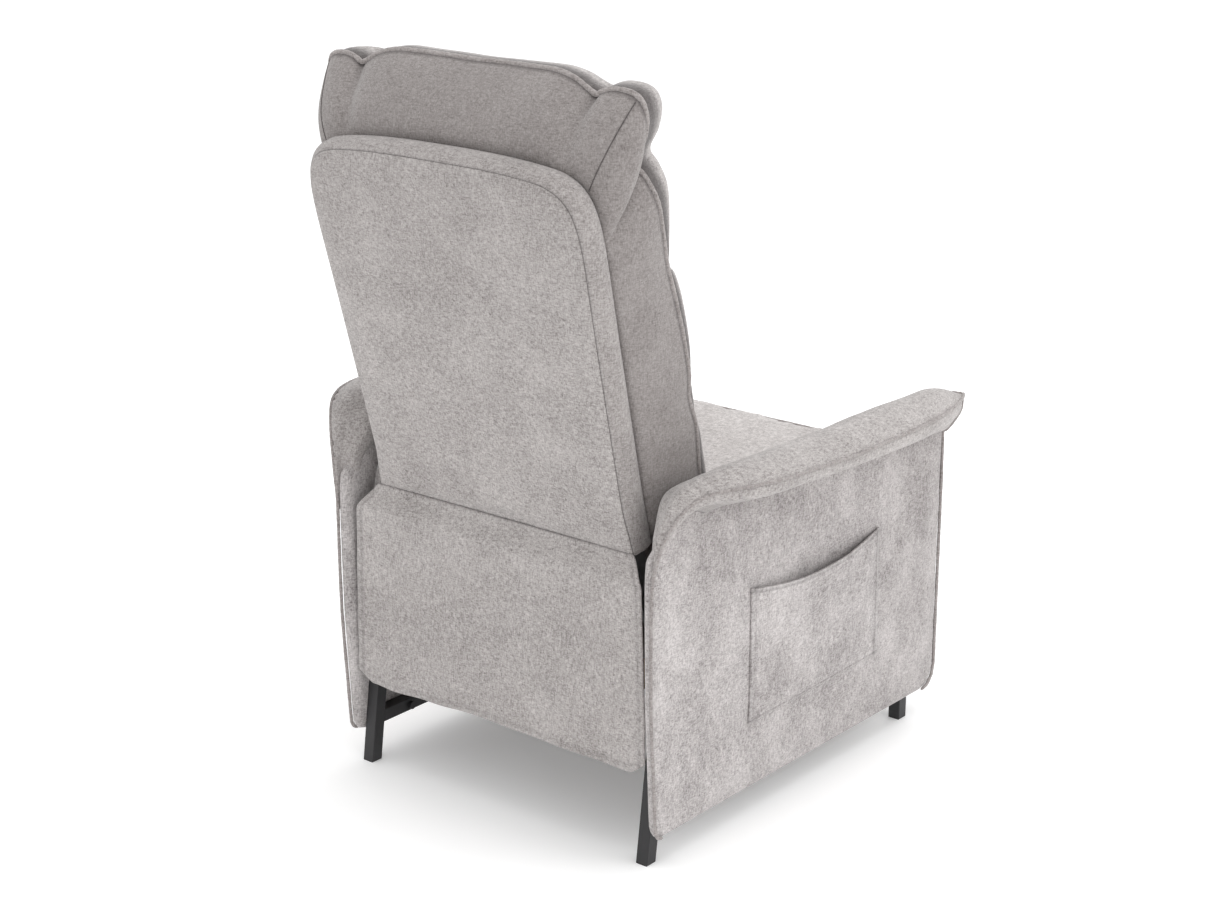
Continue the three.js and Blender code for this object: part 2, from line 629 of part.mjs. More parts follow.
function addBackSprings() {
  BACK_SPRING_PLACES.forEach((place, i) => {
    const reach = backFrameHalf - SPRING_END;
    const wire = springWire(2 * reach, 20, 11, SPRING_RADIUS).rotateZ(-Math.PI / 2);
    wire.translate(-reach, place, BACK_THICK - SEAM - SPRING_RADIUS);
    addPiece(`back_spring_${i + 1}`, wire, 'springWire', back);
  });
}

const PILLOW_CROWN = 42;         // how far the cushion's front swells beyond its edge
const PILLOW_EDGE = 24;
const PILLOW_CORNER = 50;
const PILLOW_OVERHANG = 4;       // wider than the outer back on each side
const PILLOW_TOP_CROWN = 6;      // rise of the top edge towards its middle
const PILLOW_WAIST = [180, 300]; // the sides run from the foot's width to the shoulder's

function addBackPillow() {
  const foot = -PILLOW_DROP;
  const top = PILLOW_HEIGHT - PILLOW_DROP;
  const low = backFootHalf + PILLOW_OVERHANG;
  const high = backShoulderHalf + PILLOW_OVERHANG;
  const corner = PILLOW_CORNER;
  const edge = top - PILLOW_TOP_CROWN;
  const [waist, shoulder] = PILLOW_WAIST;
  const shape = new THREE.Shape();
  shape.moveTo(-low + corner, foot);
  shape.lineTo(low - corner, foot);
  shape.quadraticCurveTo(low, foot, low, foot + corner);
  shape.quadraticCurveTo(low, waist, high, shoulder);
  shape.lineTo(high, top - corner);
  shape.quadraticCurveTo(high, edge - 2, high - corner, edge);
  shape.quadraticCurveTo(0, top + PILLOW_TOP_CROWN, -high + corner, edge);
  shape.quadraticCurveTo(-high, edge - 2, -high, top - corner);
  shape.lineTo(-high, shoulder);
  shape.quadraticCurveTo(-low, waist, -low, foot + corner);
  shape.quadraticCurveTo(-low, foot, -low + corner, foot);
  const depth = PILLOW_THICK - 2 * PILLOW_CROWN;
  const options = { depth, curveSegments: 5, bevelEnabled: true, bevelSegments: 3 };
  options.bevelThickness = PILLOW_CROWN;
  options.bevelSize = PILLOW_EDGE;
  options.bevelOffset = -PILLOW_EDGE;
  const cushion = new THREE.ExtrudeGeometry(shape, options);
  addPiece('back_cushion', cushion.translate(0, 0, BACK_THICK + SEAM + PILLOW_CROWN), 'fabric', back);
}

const BRACKET_REACH = 165;       // how far the bracket runs up the back's slope
const BRACKET_NECK = 20;         // where it enters the outer back
const BRACKET_EYE = 18;          // plate round the hinge pivot, each way

// The bracket rises from the hinge into the outer back, against the side of its frame.
function addHingeBracket(name, side) {
  const slope = THREE.MathUtils.degToRad(BACK_TILT);
  const onBack = (up, forward) => new THREE.Vector2(
    BACK_FOOT_Y + up * Math.sin(slope) - forward * Math.cos(slope),
    DECK_HEIGHT + BACK_FOOT_RISE + up * Math.cos(slope) + forward * Math.sin(slope),
  );
  const rearSide = BACK_WALL + 4;
  const frontSide = BACK_THICK - 6;
  const corners = [
    [hingePivot.x - BRACKET_EYE, hingePivot.y - BRACKET_EYE, 16],
    [hingePivot.x + BRACKET_EYE, hingePivot.y - BRACKET_EYE, 16],
    [...onBack(BRACKET_NECK, rearSide).toArray(), 20],
    [...onBack(BRACKET_REACH, rearSide).toArray(), 8],
    [...onBack(BRACKET_REACH, frontSide).toArray(), 8],
    [...onBack(BRACKET_NECK, frontSide).toArray(), 20],
  ];
  const plate = sidePlate(roundedShape(corners), side, bracketInner, PLATE);
  const holeRadius = HINGE_PIN_RADIUS + PIN_CLEAR;
  const hole = crossPin(hingePivot, side, bracketInner - 1, PLATE + 2, holeRadius);
  addPiece(`hinge_bracket_${name}`, cut(plate, hole), 'zincSteel');
}

// ---- Rear flap: cloth that hangs from the foot of the outer back --------------------------
const FLAP_CLOTH = 2.4;
const FLAP_SHOULDER = 35;        // the cloth leans out and widens over this height
const FLAP_LEG_CLEAR = 3;        // behind the rear feet
const FLAP_SIDE_STEP = 8;        // its shoulder inside the outer faces of the legs

function addRearFlap() {
  const sewn = DECK_HEIGHT + BACK_FOOT_RISE - SEAM;
  const shoulder = sewn - FLAP_SHOULDER;
  const hangY = rearFoot + FLAP_LEG_CLEAR;
  const sewnY = BACK_FOOT_Y + SEAM;
  const profile = new THREE.Shape();
  profile.moveTo(hangY, FLAP_HEM_RISE);
  profile.lineTo(hangY + FLAP_CLOTH, FLAP_HEM_RISE);
  profile.lineTo(hangY + FLAP_CLOTH, shoulder);
  profile.lineTo(sewnY + FLAP_CLOTH, sewn);
  profile.lineTo(sewnY, sewn);
  profile.lineTo(hangY, shoulder);
  profile.closePath();
  const half = legOuter - 1;
  const cloth = sidePlate(profile, 1, -half, 2 * half);
  const wide = legOuter - FLAP_SIDE_STEP;
  const beyond = half + 20;
  const above = sewn + 5;
  const hemCorner = FLAP_HEM_RISE + 10;
  const corners = sides.map(([, side]) => {
    const notch = new THREE.Shape();
    notch.moveTo(side * backFootHalf, above);
    notch.lineTo(side * wide, shoulder);
    notch.lineTo(side * half, hemCorner);
    notch.lineTo(side * beyond, hemCorner);
    notch.lineTo(side * beyond, above);
    notch.closePath();
    const solid = new THREE.ExtrudeGeometry(notch, { depth: 60, bevelEnabled: false });
    return solid.rotateX(Math.PI / 2).translate(0, hangY + 40, 0);
  });
  addPiece('rear_flap', cut(cloth, ...corners), 'fabric');
}

// ---- Footrest: carrying links, steering links, board and pad ------------------------------
function circleMeet(from, to, length) {
  const span = to.clone().sub(from);
  const half = span.length() / 2;
  const middle = from.clone().add(to).multiplyScalar(0.5);
  const normal = new THREE.Vector2(span.y, -span.x).normalize();
  if (normal.y > 0) normal.negate();
  return middle.addScaledVector(normal, Math.sqrt(length * length - half * half));
}

const elbow = circleMeet(liftPivot, boardPivot, LINK_LENGTH);
const steerJoint = elbow.clone().lerp(boardPivot, STEER_JOINT_SHARE);
const steerEnd = steerPivot.clone().lerp(steerJoint, STEER_REACH);

function link(from, to, side, count, ...pins) {
  const inner = layerOf(count);
  const plate = sidePlate(barShape(from, to, LINK_WIDTH), side, inner, PLATE);
  const parts = pins.map(({ place, start, end, radius = LINK_PIN_RADIUS }) => (
    crossPin(place, side, start, end - start, radius)));
  return parts.length ? join(plate, ...parts) : plate;
}

function withHole(geometry, place, side, count) {
  const hole = crossPin(place, side, layerOf(count) - 0.5, PLATE + 1, LINK_PIN_RADIUS + PIN_CLEAR);
  return cut(geometry, hole);
}

const STAY_RIVET_HEAD = 7;       // radius

// Layer 1 lower carrying link, 2 upper carrying link, 3 steering link and board ear, 4 stay.
function addLinks(name, side) {
  const lower = link(liftPivot, elbow, side, 1, {
    place: liftPivot, start: sidePlateInner + PIN_BITE, end: layerOf(1) + 1,
  });
  addPiece(`lower_lift_link_${name}`, withHole(lower, elbow, side, 1), 'zincSteel');
  const upper = link(elbow, boardPivot, side, 2, {
    place: elbow, start: layerOf(1) + PIN_BITE, end: layerOf(2) + 1,
  });
  addPiece(`upper_lift_link_${name}`, withHole(upper, boardPivot, side, 2), 'zincSteel');
  const steer = link(steerPivot, steerEnd, side, 3, {
    place: steerPivot, start: sidePlateInner + PIN_BITE, end: layerOf(3) + 1,
  });
  addPiece(`steering_link_${name}`, withHole(steer, steerEnd, side, 3), 'zincSteel');
  const stay = link(
    steerEnd, boardSteerPivot, side, 4,
    { place: steerEnd, start: layerOf(3) + PIN_BITE, end: layerOf(4) + PLATE + 2 },
    {
      place: boardSteerPivot,
      start: layerOf(4) + 1,
      end: layerOf(4) + PLATE + 2,
      radius: STAY_RIVET_HEAD,
    },
  );
  addPiece(`footrest_stay_${name}`, stay, 'zincSteel');
}

const TORQUE_TUBE_RADIUS = 9;
const TORQUE_TUBE_SHARE = 0.79;  // along the lower carrying links, from their pivot

function addTorqueTube() {
  const place = liftPivot.clone().lerp(elbow, TORQUE_TUBE_SHARE);
  const reach = layerOf(1) - SEAM;
  const tube = crossPin(place, 1, -reach, 2 * reach, TORQUE_TUBE_RADIUS, 20);
  addPiece('lift_torque_tube', tube, 'zincSteel');
}

const BOARD_PLY = 12;
const BOARD_ARM_CLEAR = 12;      // footrest to arm
const BOARD_REAR = -325;         // rear face of the board while the footrest is closed
const BOARD_TOP_RISE = 40;       // its padded top above the deck
const BOARD_MARGIN = 6;          // the pad's reach beyond the board, above and below
const boardHalf = armInner - BOARD_ARM_CLEAR;

function addFootrest() {
  const top = DECK_HEIGHT + BOARD_TOP_RISE;
  const bottom = top - FOOTREST_HEIGHT;
  const plyFront = BOARD_REAR - BOARD_PLY;
  const padFront = BOARD_REAR - FOOTREST_THICK;
  const low = [-boardHalf, plyFront, bottom + BOARD_MARGIN];
  const high = [boardHalf, BOARD_REAR, top - BOARD_MARGIN];
  addPiece('footrest_board', box(low, high), 'plywood');
  const outline = roundedShape([
    [padFront, bottom, 22], [plyFront - SEAM, bottom, 14],
    [plyFront - SEAM, top, 14], [padFront, top, 22],
  ]);
  addPiece('footrest_pad', sidePlate(outline, 1, -boardHalf, 2 * boardHalf, 6), 'fabric');
}

const FLANGE_THICK = 3;
const FLANGE_WIDTH = 24;

// An ear that carries both pivots, standing on a flange screwed to the board.
function addBoardBracket(name, side) {
  const face = BOARD_REAR + SEAM;
  const flangeRear = face + FLANGE_THICK;
  const low = boardSteerPivot.y - 30;
  const high = boardPivot.y + 25;
  const reachRear = boardPivot.x + LINK_WIDTH / 2;
  const ear = roundedShape([
    [face, low], [flangeRear, low],
    [reachRear, boardSteerPivot.y - 6, 8], [reachRear, boardPivot.y + 12, 8],
    [flangeRear, high], [face, high],
  ]);
  const plate = sidePlate(ear, side, layerOf(3), PLATE);
  const flangeOutline = roundedShape([
    [face, low], [flangeRear, low], [flangeRear, high], [face, high],
  ]);
  const flange = sidePlate(flangeOutline, side, layerOf(3) - FLANGE_WIDTH, FLANGE_WIDTH + 1);
  const pin = crossPin(boardPivot, side, layerOf(2) + PIN_BITE, layerOf(3) + 1 - layerOf(2), LINK_PIN_RADIUS);
  addPiece(`footrest_bracket_${name}`, join(plate, flange, pin), 'zincSteel');
}

// ---- Assembly -----------------------------------------------------------------------------
for (const [name, side] of sides) {
  addLegs(name, side);
  addLowRail(name, side);
  addArmRail(name, side);
  addGuideChannel(name, side);
  addArmPanel(name, side);
  addArmRoll(name, side);
  addSidePlate(name, side);
  addRollers(name, side);
  addHingeBolt(name, side);
  addHingeBracket(name, side);
  addLinks(name, side);
  addBoardBracket(name, side);
}
addCrossTubes();
addPocket();
addSeatRails();
addSeatSprings();
addSeatCushion();
addOuterBack();
addBackFrame();
addBackSprings();
addBackPillow();
addRearFlap();
addTorqueTube();
addFootrest();

// The origin lies on the floor, midway between the front and the rear of the whole chair.
chair.updateMatrixWorld(true);
const extent = new THREE.Box3().setFromObject(chair, true);
chair.position.y = -(extent.min.y + extent.max.y) / 2;

export default chair;
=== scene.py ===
"""The looks of a push-back recliner armchair: brushed chenille over a black steel base.

Shapes are worked out in millimetres, measured from the middle between the feet: X across the
chair, Y from front to rear, Z up from the floor. They become metres when a mesh is made.
"""
import json

import bmesh
import bpy
import numpy as np
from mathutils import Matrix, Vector

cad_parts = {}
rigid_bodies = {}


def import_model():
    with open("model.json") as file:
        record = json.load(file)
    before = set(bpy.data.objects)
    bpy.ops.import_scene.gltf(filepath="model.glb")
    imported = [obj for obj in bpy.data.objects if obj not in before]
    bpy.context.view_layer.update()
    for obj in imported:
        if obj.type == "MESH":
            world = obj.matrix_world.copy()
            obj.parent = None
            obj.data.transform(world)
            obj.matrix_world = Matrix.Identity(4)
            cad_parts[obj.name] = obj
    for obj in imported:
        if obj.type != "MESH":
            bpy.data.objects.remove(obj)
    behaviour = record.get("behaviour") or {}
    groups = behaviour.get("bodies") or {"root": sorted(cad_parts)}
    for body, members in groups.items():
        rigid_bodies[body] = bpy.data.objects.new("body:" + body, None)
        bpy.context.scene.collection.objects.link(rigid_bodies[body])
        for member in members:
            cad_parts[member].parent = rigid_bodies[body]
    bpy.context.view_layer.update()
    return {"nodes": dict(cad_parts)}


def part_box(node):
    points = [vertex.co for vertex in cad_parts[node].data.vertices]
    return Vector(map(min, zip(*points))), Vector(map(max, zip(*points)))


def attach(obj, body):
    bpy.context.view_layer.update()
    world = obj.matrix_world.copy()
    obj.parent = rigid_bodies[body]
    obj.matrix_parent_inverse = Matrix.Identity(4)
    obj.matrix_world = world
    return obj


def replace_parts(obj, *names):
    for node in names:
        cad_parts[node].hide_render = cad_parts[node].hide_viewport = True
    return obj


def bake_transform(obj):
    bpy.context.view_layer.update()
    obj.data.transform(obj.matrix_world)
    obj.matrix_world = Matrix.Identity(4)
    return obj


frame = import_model()

# ---- Studio: a pale floor that runs out of sight, a broad lamp overhead and two side lamps -----
# The chair stands in the middle of the floor. The camera looks down on it from behind its right
# side; it is not part of the chair.
FEET_MIDDLE = (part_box("rear_leg_left")[1].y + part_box("front_leg_left")[1].y) / 2
CAMERA_AIM = (-0.0034, FEET_MIDDLE + 0.0745, 0.4797)
CAMERA_TURN = 219.35
CAMERA_RISE = 18.0
CAMERA_DISTANCE = 3.55
CAMERA_LENS = 72.17


class Wire:
    """A number that varies over a surface; sums and products of wires are Math nodes."""

    def __init__(self, paint, socket):
        self.paint, self.socket = paint, socket

    def _math(self, operation, first, second):
        node = self.paint.node("ShaderNodeMath", {"operation": operation}, {0: first, 1: second})
        return Wire(self.paint, node.outputs[0])

    def __add__(self, other):
        return self._math("ADD", self, other)

    def __radd__(self, other):
        return self._math("ADD", other, self)

    def __sub__(self, other):
        return self._math("SUBTRACT", self, other)

    def __rsub__(self, other):
        return self._math("SUBTRACT", other, self)

    def __mul__(self, other):
        return self._math("MULTIPLY", self, other)

    def __rmul__(self, other):
        return self._math("MULTIPLY", other, self)


class Paint:
    """The node tree of one finish. Constants are set on the shader, links bring what varies."""

    def __init__(self, name, **constants):
        self.material = bpy.data.materials.new(name)
        self.material.use_nodes = True
        self.tree = self.material.node_tree
        self.shader = self.tree.nodes["Principled BSDF"]
        for socket, value in constants.items():
            self.shader.inputs[socket.replace("_", " ")].default_value = value
        self.places = self.node("ShaderNodeTexCoord").outputs["Object"]

    def node(self, kind, settings=None, inputs=None):
        made = self.tree.nodes.new(kind)
        for key, value in (settings or {}).items():
            setattr(made, key, value)
        for key, value in (inputs or {}).items():
            if isinstance(value, Wire):
                value = value.socket
            if isinstance(value, bpy.types.NodeSocket):
                self.tree.links.new(value, made.inputs[key])
            else:
                made.inputs[key].default_value = value
        return made

    def noise(self, scale, stretch=(1, 1, 1), detail=2.0, roughness=0.5, offset=0.0):
        """Noise from 0 to 1 with about `scale` blobs to the metre, drawn out along an axis."""
        shifted = (offset, offset * 0.7, offset * 1.3)
        held = self.node(
            "ShaderNodeMapping",
            {"vector_type": "POINT"},
            {"Vector": self.places, "Scale": stretch, "Location": shifted},
        )
        made = self.node(
            "ShaderNodeTexNoise",
            None,
            {"Vector": held.outputs[0], "Scale": scale, "Detail": detail, "Roughness": roughness},
        )
        return Wire(self, made.outputs["Fac"])

    def attribute(self, name):
        return Wire(self, self.node("ShaderNodeAttribute", {"attribute_name": name}).outputs["Fac"])

    def between(self, share, first, second):
        """A colour between two, by a share from 0 to 1."""
        mix = self.node("ShaderNodeMix", {"data_type": "RGBA"}, {0: share, 6: first, 7: second})
        return mix.outputs[2]

    def feed(self, socket, value):
        value = value.socket if isinstance(value, Wire) else value
        self.tree.links.new(value, self.shader.inputs[socket])

    def bump(self, height, distance, strength=1.0):
        made = self.node(
            "ShaderNodeBump", None, {"Height": height, "Distance": distance, "Strength": strength}
        )
        self.tree.links.new(made.outputs[0], self.shader.inputs["Normal"])


def linear(red, green, blue):
    """A colour given in 0 to 255 as on a screen, as linear light."""
    share = np.array([red, green, blue]) / 255
    light = np.where(share <= 0.04045, share / 12.92, ((share + 0.055) / 1.055) ** 2.4)
    return (*(float(v) for v in light), 1.0)


def skin(name, grid, wrap=True, seam_shade=None, nap_and_painted_shade=None, merge=True):
    """An object over a grid of points (rows, columns): four neighbours make a face. With wrap the
    last column joins the first. Points that fall together are merged and faces turn outwards."""
    rows, columns = grid.shape[:2]
    points = grid.reshape(-1, 3) / 1000 + (0, FEET_MIDDLE, 0)
    across = np.arange(columns if wrap else columns - 1)
    down = np.arange(rows - 1)[:, None] * columns
    beside = (across + 1) % columns
    corners = [down + across, down + beside, down + columns + beside, down + columns + across]
    faces = np.stack(corners, -1).reshape(-1, 4)
    mesh = bpy.data.meshes.new(name)
    mesh.from_pydata(points.tolist(), [], faces.tolist())
    for mark, amount in (("seam_shade", seam_shade), ("nap_and_painted_shade", nap_and_painted_shade)):
        amount = np.zeros(len(points)) if amount is None else amount
        mesh.attributes.new(mark, "FLOAT", "POINT").data.foreach_set("value", amount.ravel())
    work = bmesh.new()
    work.from_mesh(mesh)
    if merge:
        bmesh.ops.remove_doubles(work, verts=work.verts, dist=1e-5)
        bmesh.ops.recalc_face_normals(work, faces=work.faces)
    work.to_mesh(mesh)
    work.free()
    mesh.polygons.foreach_set("use_smooth", [True] * len(mesh.polygons))
    piece = bpy.data.objects.new(name, mesh)
    bpy.context.scene.collection.objects.link(piece)
    return piece


def wear(piece, paint):
    piece.data.materials.clear()
    piece.data.materials.append(paint.material)
    return piece


# The floor glows faintly: painted light that lifts the shadow under the chair.
floor_paint = Paint(
    "floor_white", Roughness=0.9, Emission_Color=(1, 1, 1, 1), Emission_Strength=0.16
)
floor_tone = floor_paint.noise(3.0, detail=1.0)
floor_paint.feed(
    "Base Color",
    floor_paint.between(floor_tone, linear(249, 249, 249), linear(252, 252, 252)),
)
reach = np.linspace(-9000, 9000, 7)
floor_grid = np.stack(np.broadcast_arrays(reach[None, :], reach[:, None], 0.0), -1)
floor = wear(skin("floor", floor_grid, wrap=False, merge=False), floor_paint)

world = bpy.data.worlds.new("studio")
bpy.context.scene.world = world
world.use_nodes = True
world.node_tree.nodes["Background"].inputs["Color"].default_value = (1, 1, 1, 1)
world.node_tree.nodes["Background"].inputs["Strength"].default_value = 1.0
bpy.context.scene.view_settings.view_transform = "Standard"

LAMPS = (
    # name, place, aim, width, power
    ("lamp_overhead", (-0.6, 0.2, 3.6), (0, 0, 0.4), 2.6, 26),
    ("lamp_right_side", (-3.4, -0.8, 2.0), (0, 0, 0.5), 1.8, 24),
    ("lamp_front", (0.8, -3.4, 2.4), (0, 0, 0.6), 2.0, 22),
)
for name, place, aim, width, power in LAMPS:
    light = bpy.data.lights.new(name, "AREA")
    light.shape = "SQUARE"
    light.size = width
    light.energy = power
    lamp = bpy.data.objects.new(name, light)
    lamp.location = place
    lamp.rotation_euler = (Vector(aim) - Vector(place)).to_track_quat("-Z", "Y").to_euler()
    bpy.context.scene.collection.objects.link(lamp)

turn, rise = np.radians(CAMERA_TURN), np.radians(CAMERA_RISE)
back = Vector((np.sin(turn) * np.cos(rise), -np.cos(turn) * np.cos(rise), np.sin(rise)))
camera = bpy.data.objects.new("camera", bpy.data.cameras.new("camera"))
camera.data.lens = CAMERA_LENS
camera.location = Vector(CAMERA_AIM) + back * CAMERA_DISTANCE
camera.rotation_euler = back.to_track_quat("Z", "Y").to_euler()
bpy.context.scene.collection.objects.link(camera)
bpy.context.scene.camera = camera

# ---- Base: square steel tube legs, rails and bolts, powder-coated satin black -----------------
# Four legs of 20 mm tube, welded to low side rails and joined by two cross tubes; the arm boards
# are bolted to them from inside.
black_steel = Paint("black_powder_coat", Metallic=0.0, Specular_IOR_Level=0.5)
grain = black_steel.noise(900, detail=1.0)
scuff = black_steel.noise(14, detail=4.0, roughness=0.7, offset=3.0)
black_steel.feed(
    "Base Color", black_steel.between(scuff, linear(24, 23, 25), linear(40, 39, 41))
)
black_steel.feed("Roughness", 0.34 + 0.16 * scuff + 0.08 * grain)
black_steel.bump(grain, 0.00025, 0.5)

BLACK_NODES = [
    f"{part}_{side}"
    for side in ("left", "right")
    for part in ("rear_leg", "front_leg", "low_rail")
] + ["cross_tube_front", "cross_tube_rear"]
BLACK_NODES += [f"panel_bolt_{side}_{n}" for side in ("left", "right") for n in (1, 2)]
for node in BLACK_NODES:
    wear(frame["nodes"][node], black_steel)

# ---- Hidden carcass: beech arm rails and back frame, plywood footrest board --------------------
# Planed timber, glued and screwed; only glimpsed between the cushions.
beech = Paint("planed_beech", Specular_IOR_Level=0.3)
rings = beech.noise(55, (6, 0.5, 6), detail=3.0)
pores = beech.noise(700, (1, 0.08, 1), detail=1.0)
beech.feed("Base Color", beech.between(rings, linear(190, 150, 108), linear(160, 118, 78)))
beech.feed("Roughness", 0.6 + 0.2 * pores)
beech.bump(pores, 0.0003, 0.4)
for node in ("arm_rail_left", "arm_rail_right", "back_frame"):
    wear(frame["nodes"][node], beech)

plywood = Paint("birch_plywood", Specular_IOR_Level=0.3)
plies = plywood.noise(420, (0.05, 1, 0.05), detail=1.0)
figure = plywood.noise(24, (0.6, 1, 5), detail=3.0, offset=2.0)
plywood.feed(
    "Base Color",
    plywood.between(0.55 * figure + 0.45 * plies, linear(196, 164, 120), linear(150, 112, 74)),
)
plywood.feed("Roughness", 0.62 + 0.15 * figure)
plywood.bump(plies, 0.0003, 0.4)
wear(frame["nodes"]["footrest_board"], plywood)

# ---- Mechanism: zinc-plated steel links, plates and channels, spring wire, nylon rollers -------
# Stamped steel, riveted; the seat rolls in two channels and the footrest folds on its links.
zinc_steel = Paint("zinc_plate", Metallic=0.9)
spangle = zinc_steel.noise(130, detail=3.0, roughness=0.6)
smears = zinc_steel.noise(22, detail=2.0, offset=1.0)
zinc_steel.feed(
    "Base Color", zinc_steel.between(spangle, linear(150, 153, 156), linear(184, 186, 188))
)
zinc_steel.feed("Roughness", 0.26 + 0.14 * smears + 0.1 * spangle)
zinc_steel.bump(spangle, 0.0001, 0.3)
ZINC_PARTS = (
    "guide_channel seat_side_plate seat_rail hinge_bolt hinge_bracket lower_lift_link "
    "upper_lift_link steering_link footrest_stay footrest_bracket"
).split()
ZINC_NODES = [f"{part}_{side}" for part in ZINC_PARTS for side in ("left", "right")]
for node in [*ZINC_NODES, "lift_torque_tube", "seat_rail_front", "seat_rail_rear"]:
    wear(frame["nodes"][node], zinc_steel)

spring_wire = Paint("spring_wire", Metallic=0.85)
drawn = spring_wire.noise(500, (1, 1, 1), detail=1.0)
spring_wire.feed(
    "Base Color", spring_wire.between(drawn, linear(70, 70, 72), linear(104, 104, 108))
)
spring_wire.feed("Roughness", 0.3 + 0.2 * drawn)
for node in [f"seat_spring_{n}" for n in (1, 2, 3)] + ["back_spring_1", "back_spring_2"]:
    wear(frame["nodes"][node], spring_wire)

nylon = Paint("black_nylon", Specular_IOR_Level=0.4)
mould = nylon.noise(600, detail=2.0)
rubbed = nylon.noise(40, detail=2.0, offset=4.0)
nylon.feed("Base Color", nylon.between(rubbed, linear(30, 31, 34), linear(48, 49, 52)))
nylon.feed("Roughness", 0.42 + 0.12 * rubbed)
nylon.bump(mould, 0.0001, 0.3)
for node in [f"guide_roller_{side}_{n}" for side in ("left", "right") for n in (1, 2)]:
    wear(frame["nodes"][node], nylon)


# ---- Cloth: warm grey brushed chenille, melange yarn, nap brushed light and dark ---------------
# The same cloth covers every padded part. It is dyed in the yarn and brushed on one face in clouds
# of lighter and darker pile. Painted shade darkens seams, creases, faces turned from the lamps and
# the piping cord; painted light makes the seat's copy lighter, as lit from above.
# Painted shade: the first tone darkens faces turned from the lamps, the second one seams, creases
# and stitching.
PAINTED_SHADE_TONE = (108, 101, 99)
STITCH_SHADOW = (62, 57, 57)


def chenille(name, light=(198, 193, 191), dark=(112, 106, 104), nap_and_painted_shade=(1, 1, 1), cloud=0.3):
    """Clouds of brushed pile over flecked yarn. Painted shade: one mark darkens the cloth where it
    folds in at seams, creases and stitching; the other darkens whole faces that turn from the
    lamps, and the arm boards towards their front."""
    cloth = Paint(name, Specular_IOR_Level=0.2, Sheen_Weight=0.28, Sheen_Roughness=0.45)
    patches = cloth.noise(12, nap_and_painted_shade, detail=3.0, roughness=0.6)
    brushed = cloth.noise(60, nap_and_painted_shade, detail=4.0, roughness=0.68, offset=5.0)
    warp = cloth.noise(560, (1, 1, 0.28), detail=2.0, roughness=0.8, offset=2.0)
    weft = cloth.noise(560, (0.28, 0.28, 1), detail=2.0, roughness=0.8, offset=9.0)
    slub = cloth.noise(170, (1.0, 1.0, 0.6), detail=3.0, roughness=0.75, offset=7.0)
    weave = warp + weft - 1.0
    tone = cloud * (1.7 * patches + 0.9 * brushed - 1.3) + 1.45 * weave + 0.5 * (slub - 0.5)
    base = cloth.between(tone + 0.56, linear(*dark), linear(*light))
    base = cloth.between(cloth.attribute("nap_and_painted_shade") * 0.5, base, linear(*PAINTED_SHADE_TONE))
    base = cloth.between(cloth.attribute("seam_shade") * 0.85, base, linear(*STITCH_SHADOW))
    cloth.feed("Base Color", base)
    cloth.feed("Roughness", 0.8 + 0.18 * brushed)
    cloth.bump(weave + 0.4 * slub + 0.35 * brushed, 0.0012, 0.7)
    return cloth


plain_cloth = chenille("chenille")
panel_cloth = chenille("chenille_panels", (205, 200, 199), (112, 106, 105), (1, 1, 0.75), 0.6)
# Painted light: the seat's copy of the cloth is lighter, as its top is lit from above.
lit_seat_cloth = chenille("chenille_seat_lit", (216, 211, 209), (140, 134, 132))
# Painted shade: the piping's copy of the cloth is darker, for the shadow along the cord.
shaded_cord_cloth = chenille("chenille_piping_shaded", (176, 170, 168), (112, 105, 103))


def wave(a, b, length, seed):
    """Gentle unevenness of about -1 to 1: the sum of five sines, near that length, each in its own
    direction, over three."""
    draw = np.random.default_rng(seed)
    turns = draw.uniform(0, 2 * np.pi, 5)
    phases = draw.uniform(0, 2 * np.pi, 5)
    sizes = length * draw.uniform(0.6, 1.5, 5)
    total = sum(
        np.sin(2 * np.pi * (a * np.cos(t) + b * np.sin(t)) / s + p)
        for t, s, p in zip(turns, sizes, phases)
    )
    return total / 3


def spline(stops, at, closed=True):
    """A Catmull-Rom curve through the stops, read at places counted in stops."""
    stops = np.asarray(stops, float)
    count = len(stops)
    first = np.clip(np.floor(at).astype(int), 0, count - (1 if closed else 2))
    share = (at - first)[:, None]

    def stop(step):
        return stops[(first + step) % count if closed else np.clip(first + step, 0, count - 1)]

    before, here, after, beyond = stop(-1), stop(0), stop(1), stop(2)
    return 0.5 * (
        2 * here
        + (after - before) * share
        + (2 * before - 5 * here + 4 * after - beyond) * share**2
        + (3 * here - before - 3 * after + beyond) * share**3
    )


def evenly(points, count, closed=False):
    """Places, counted in points, that cut a line of points into equal steps of its length."""
    line = np.vstack([points, points[:1]]) if closed else points
    along = np.concatenate([[0], np.cumsum(np.linalg.norm(np.diff(line, axis=0), axis=1))])
    steps = np.linspace(0, along[-1], count, endpoint=not closed)
    return np.interp(steps, along, np.arange(len(line)))


def resampled(points, count, closed=False):
    """The line of points read again in equal steps of its length, by straight lines between."""
    at = evenly(points, count, closed)
    line = np.vstack([points, points[:1]]) if closed else points
    whole = np.arange(len(line))
    return np.stack([np.interp(at, whole, line[:, k]) for k in range(3)], -1)


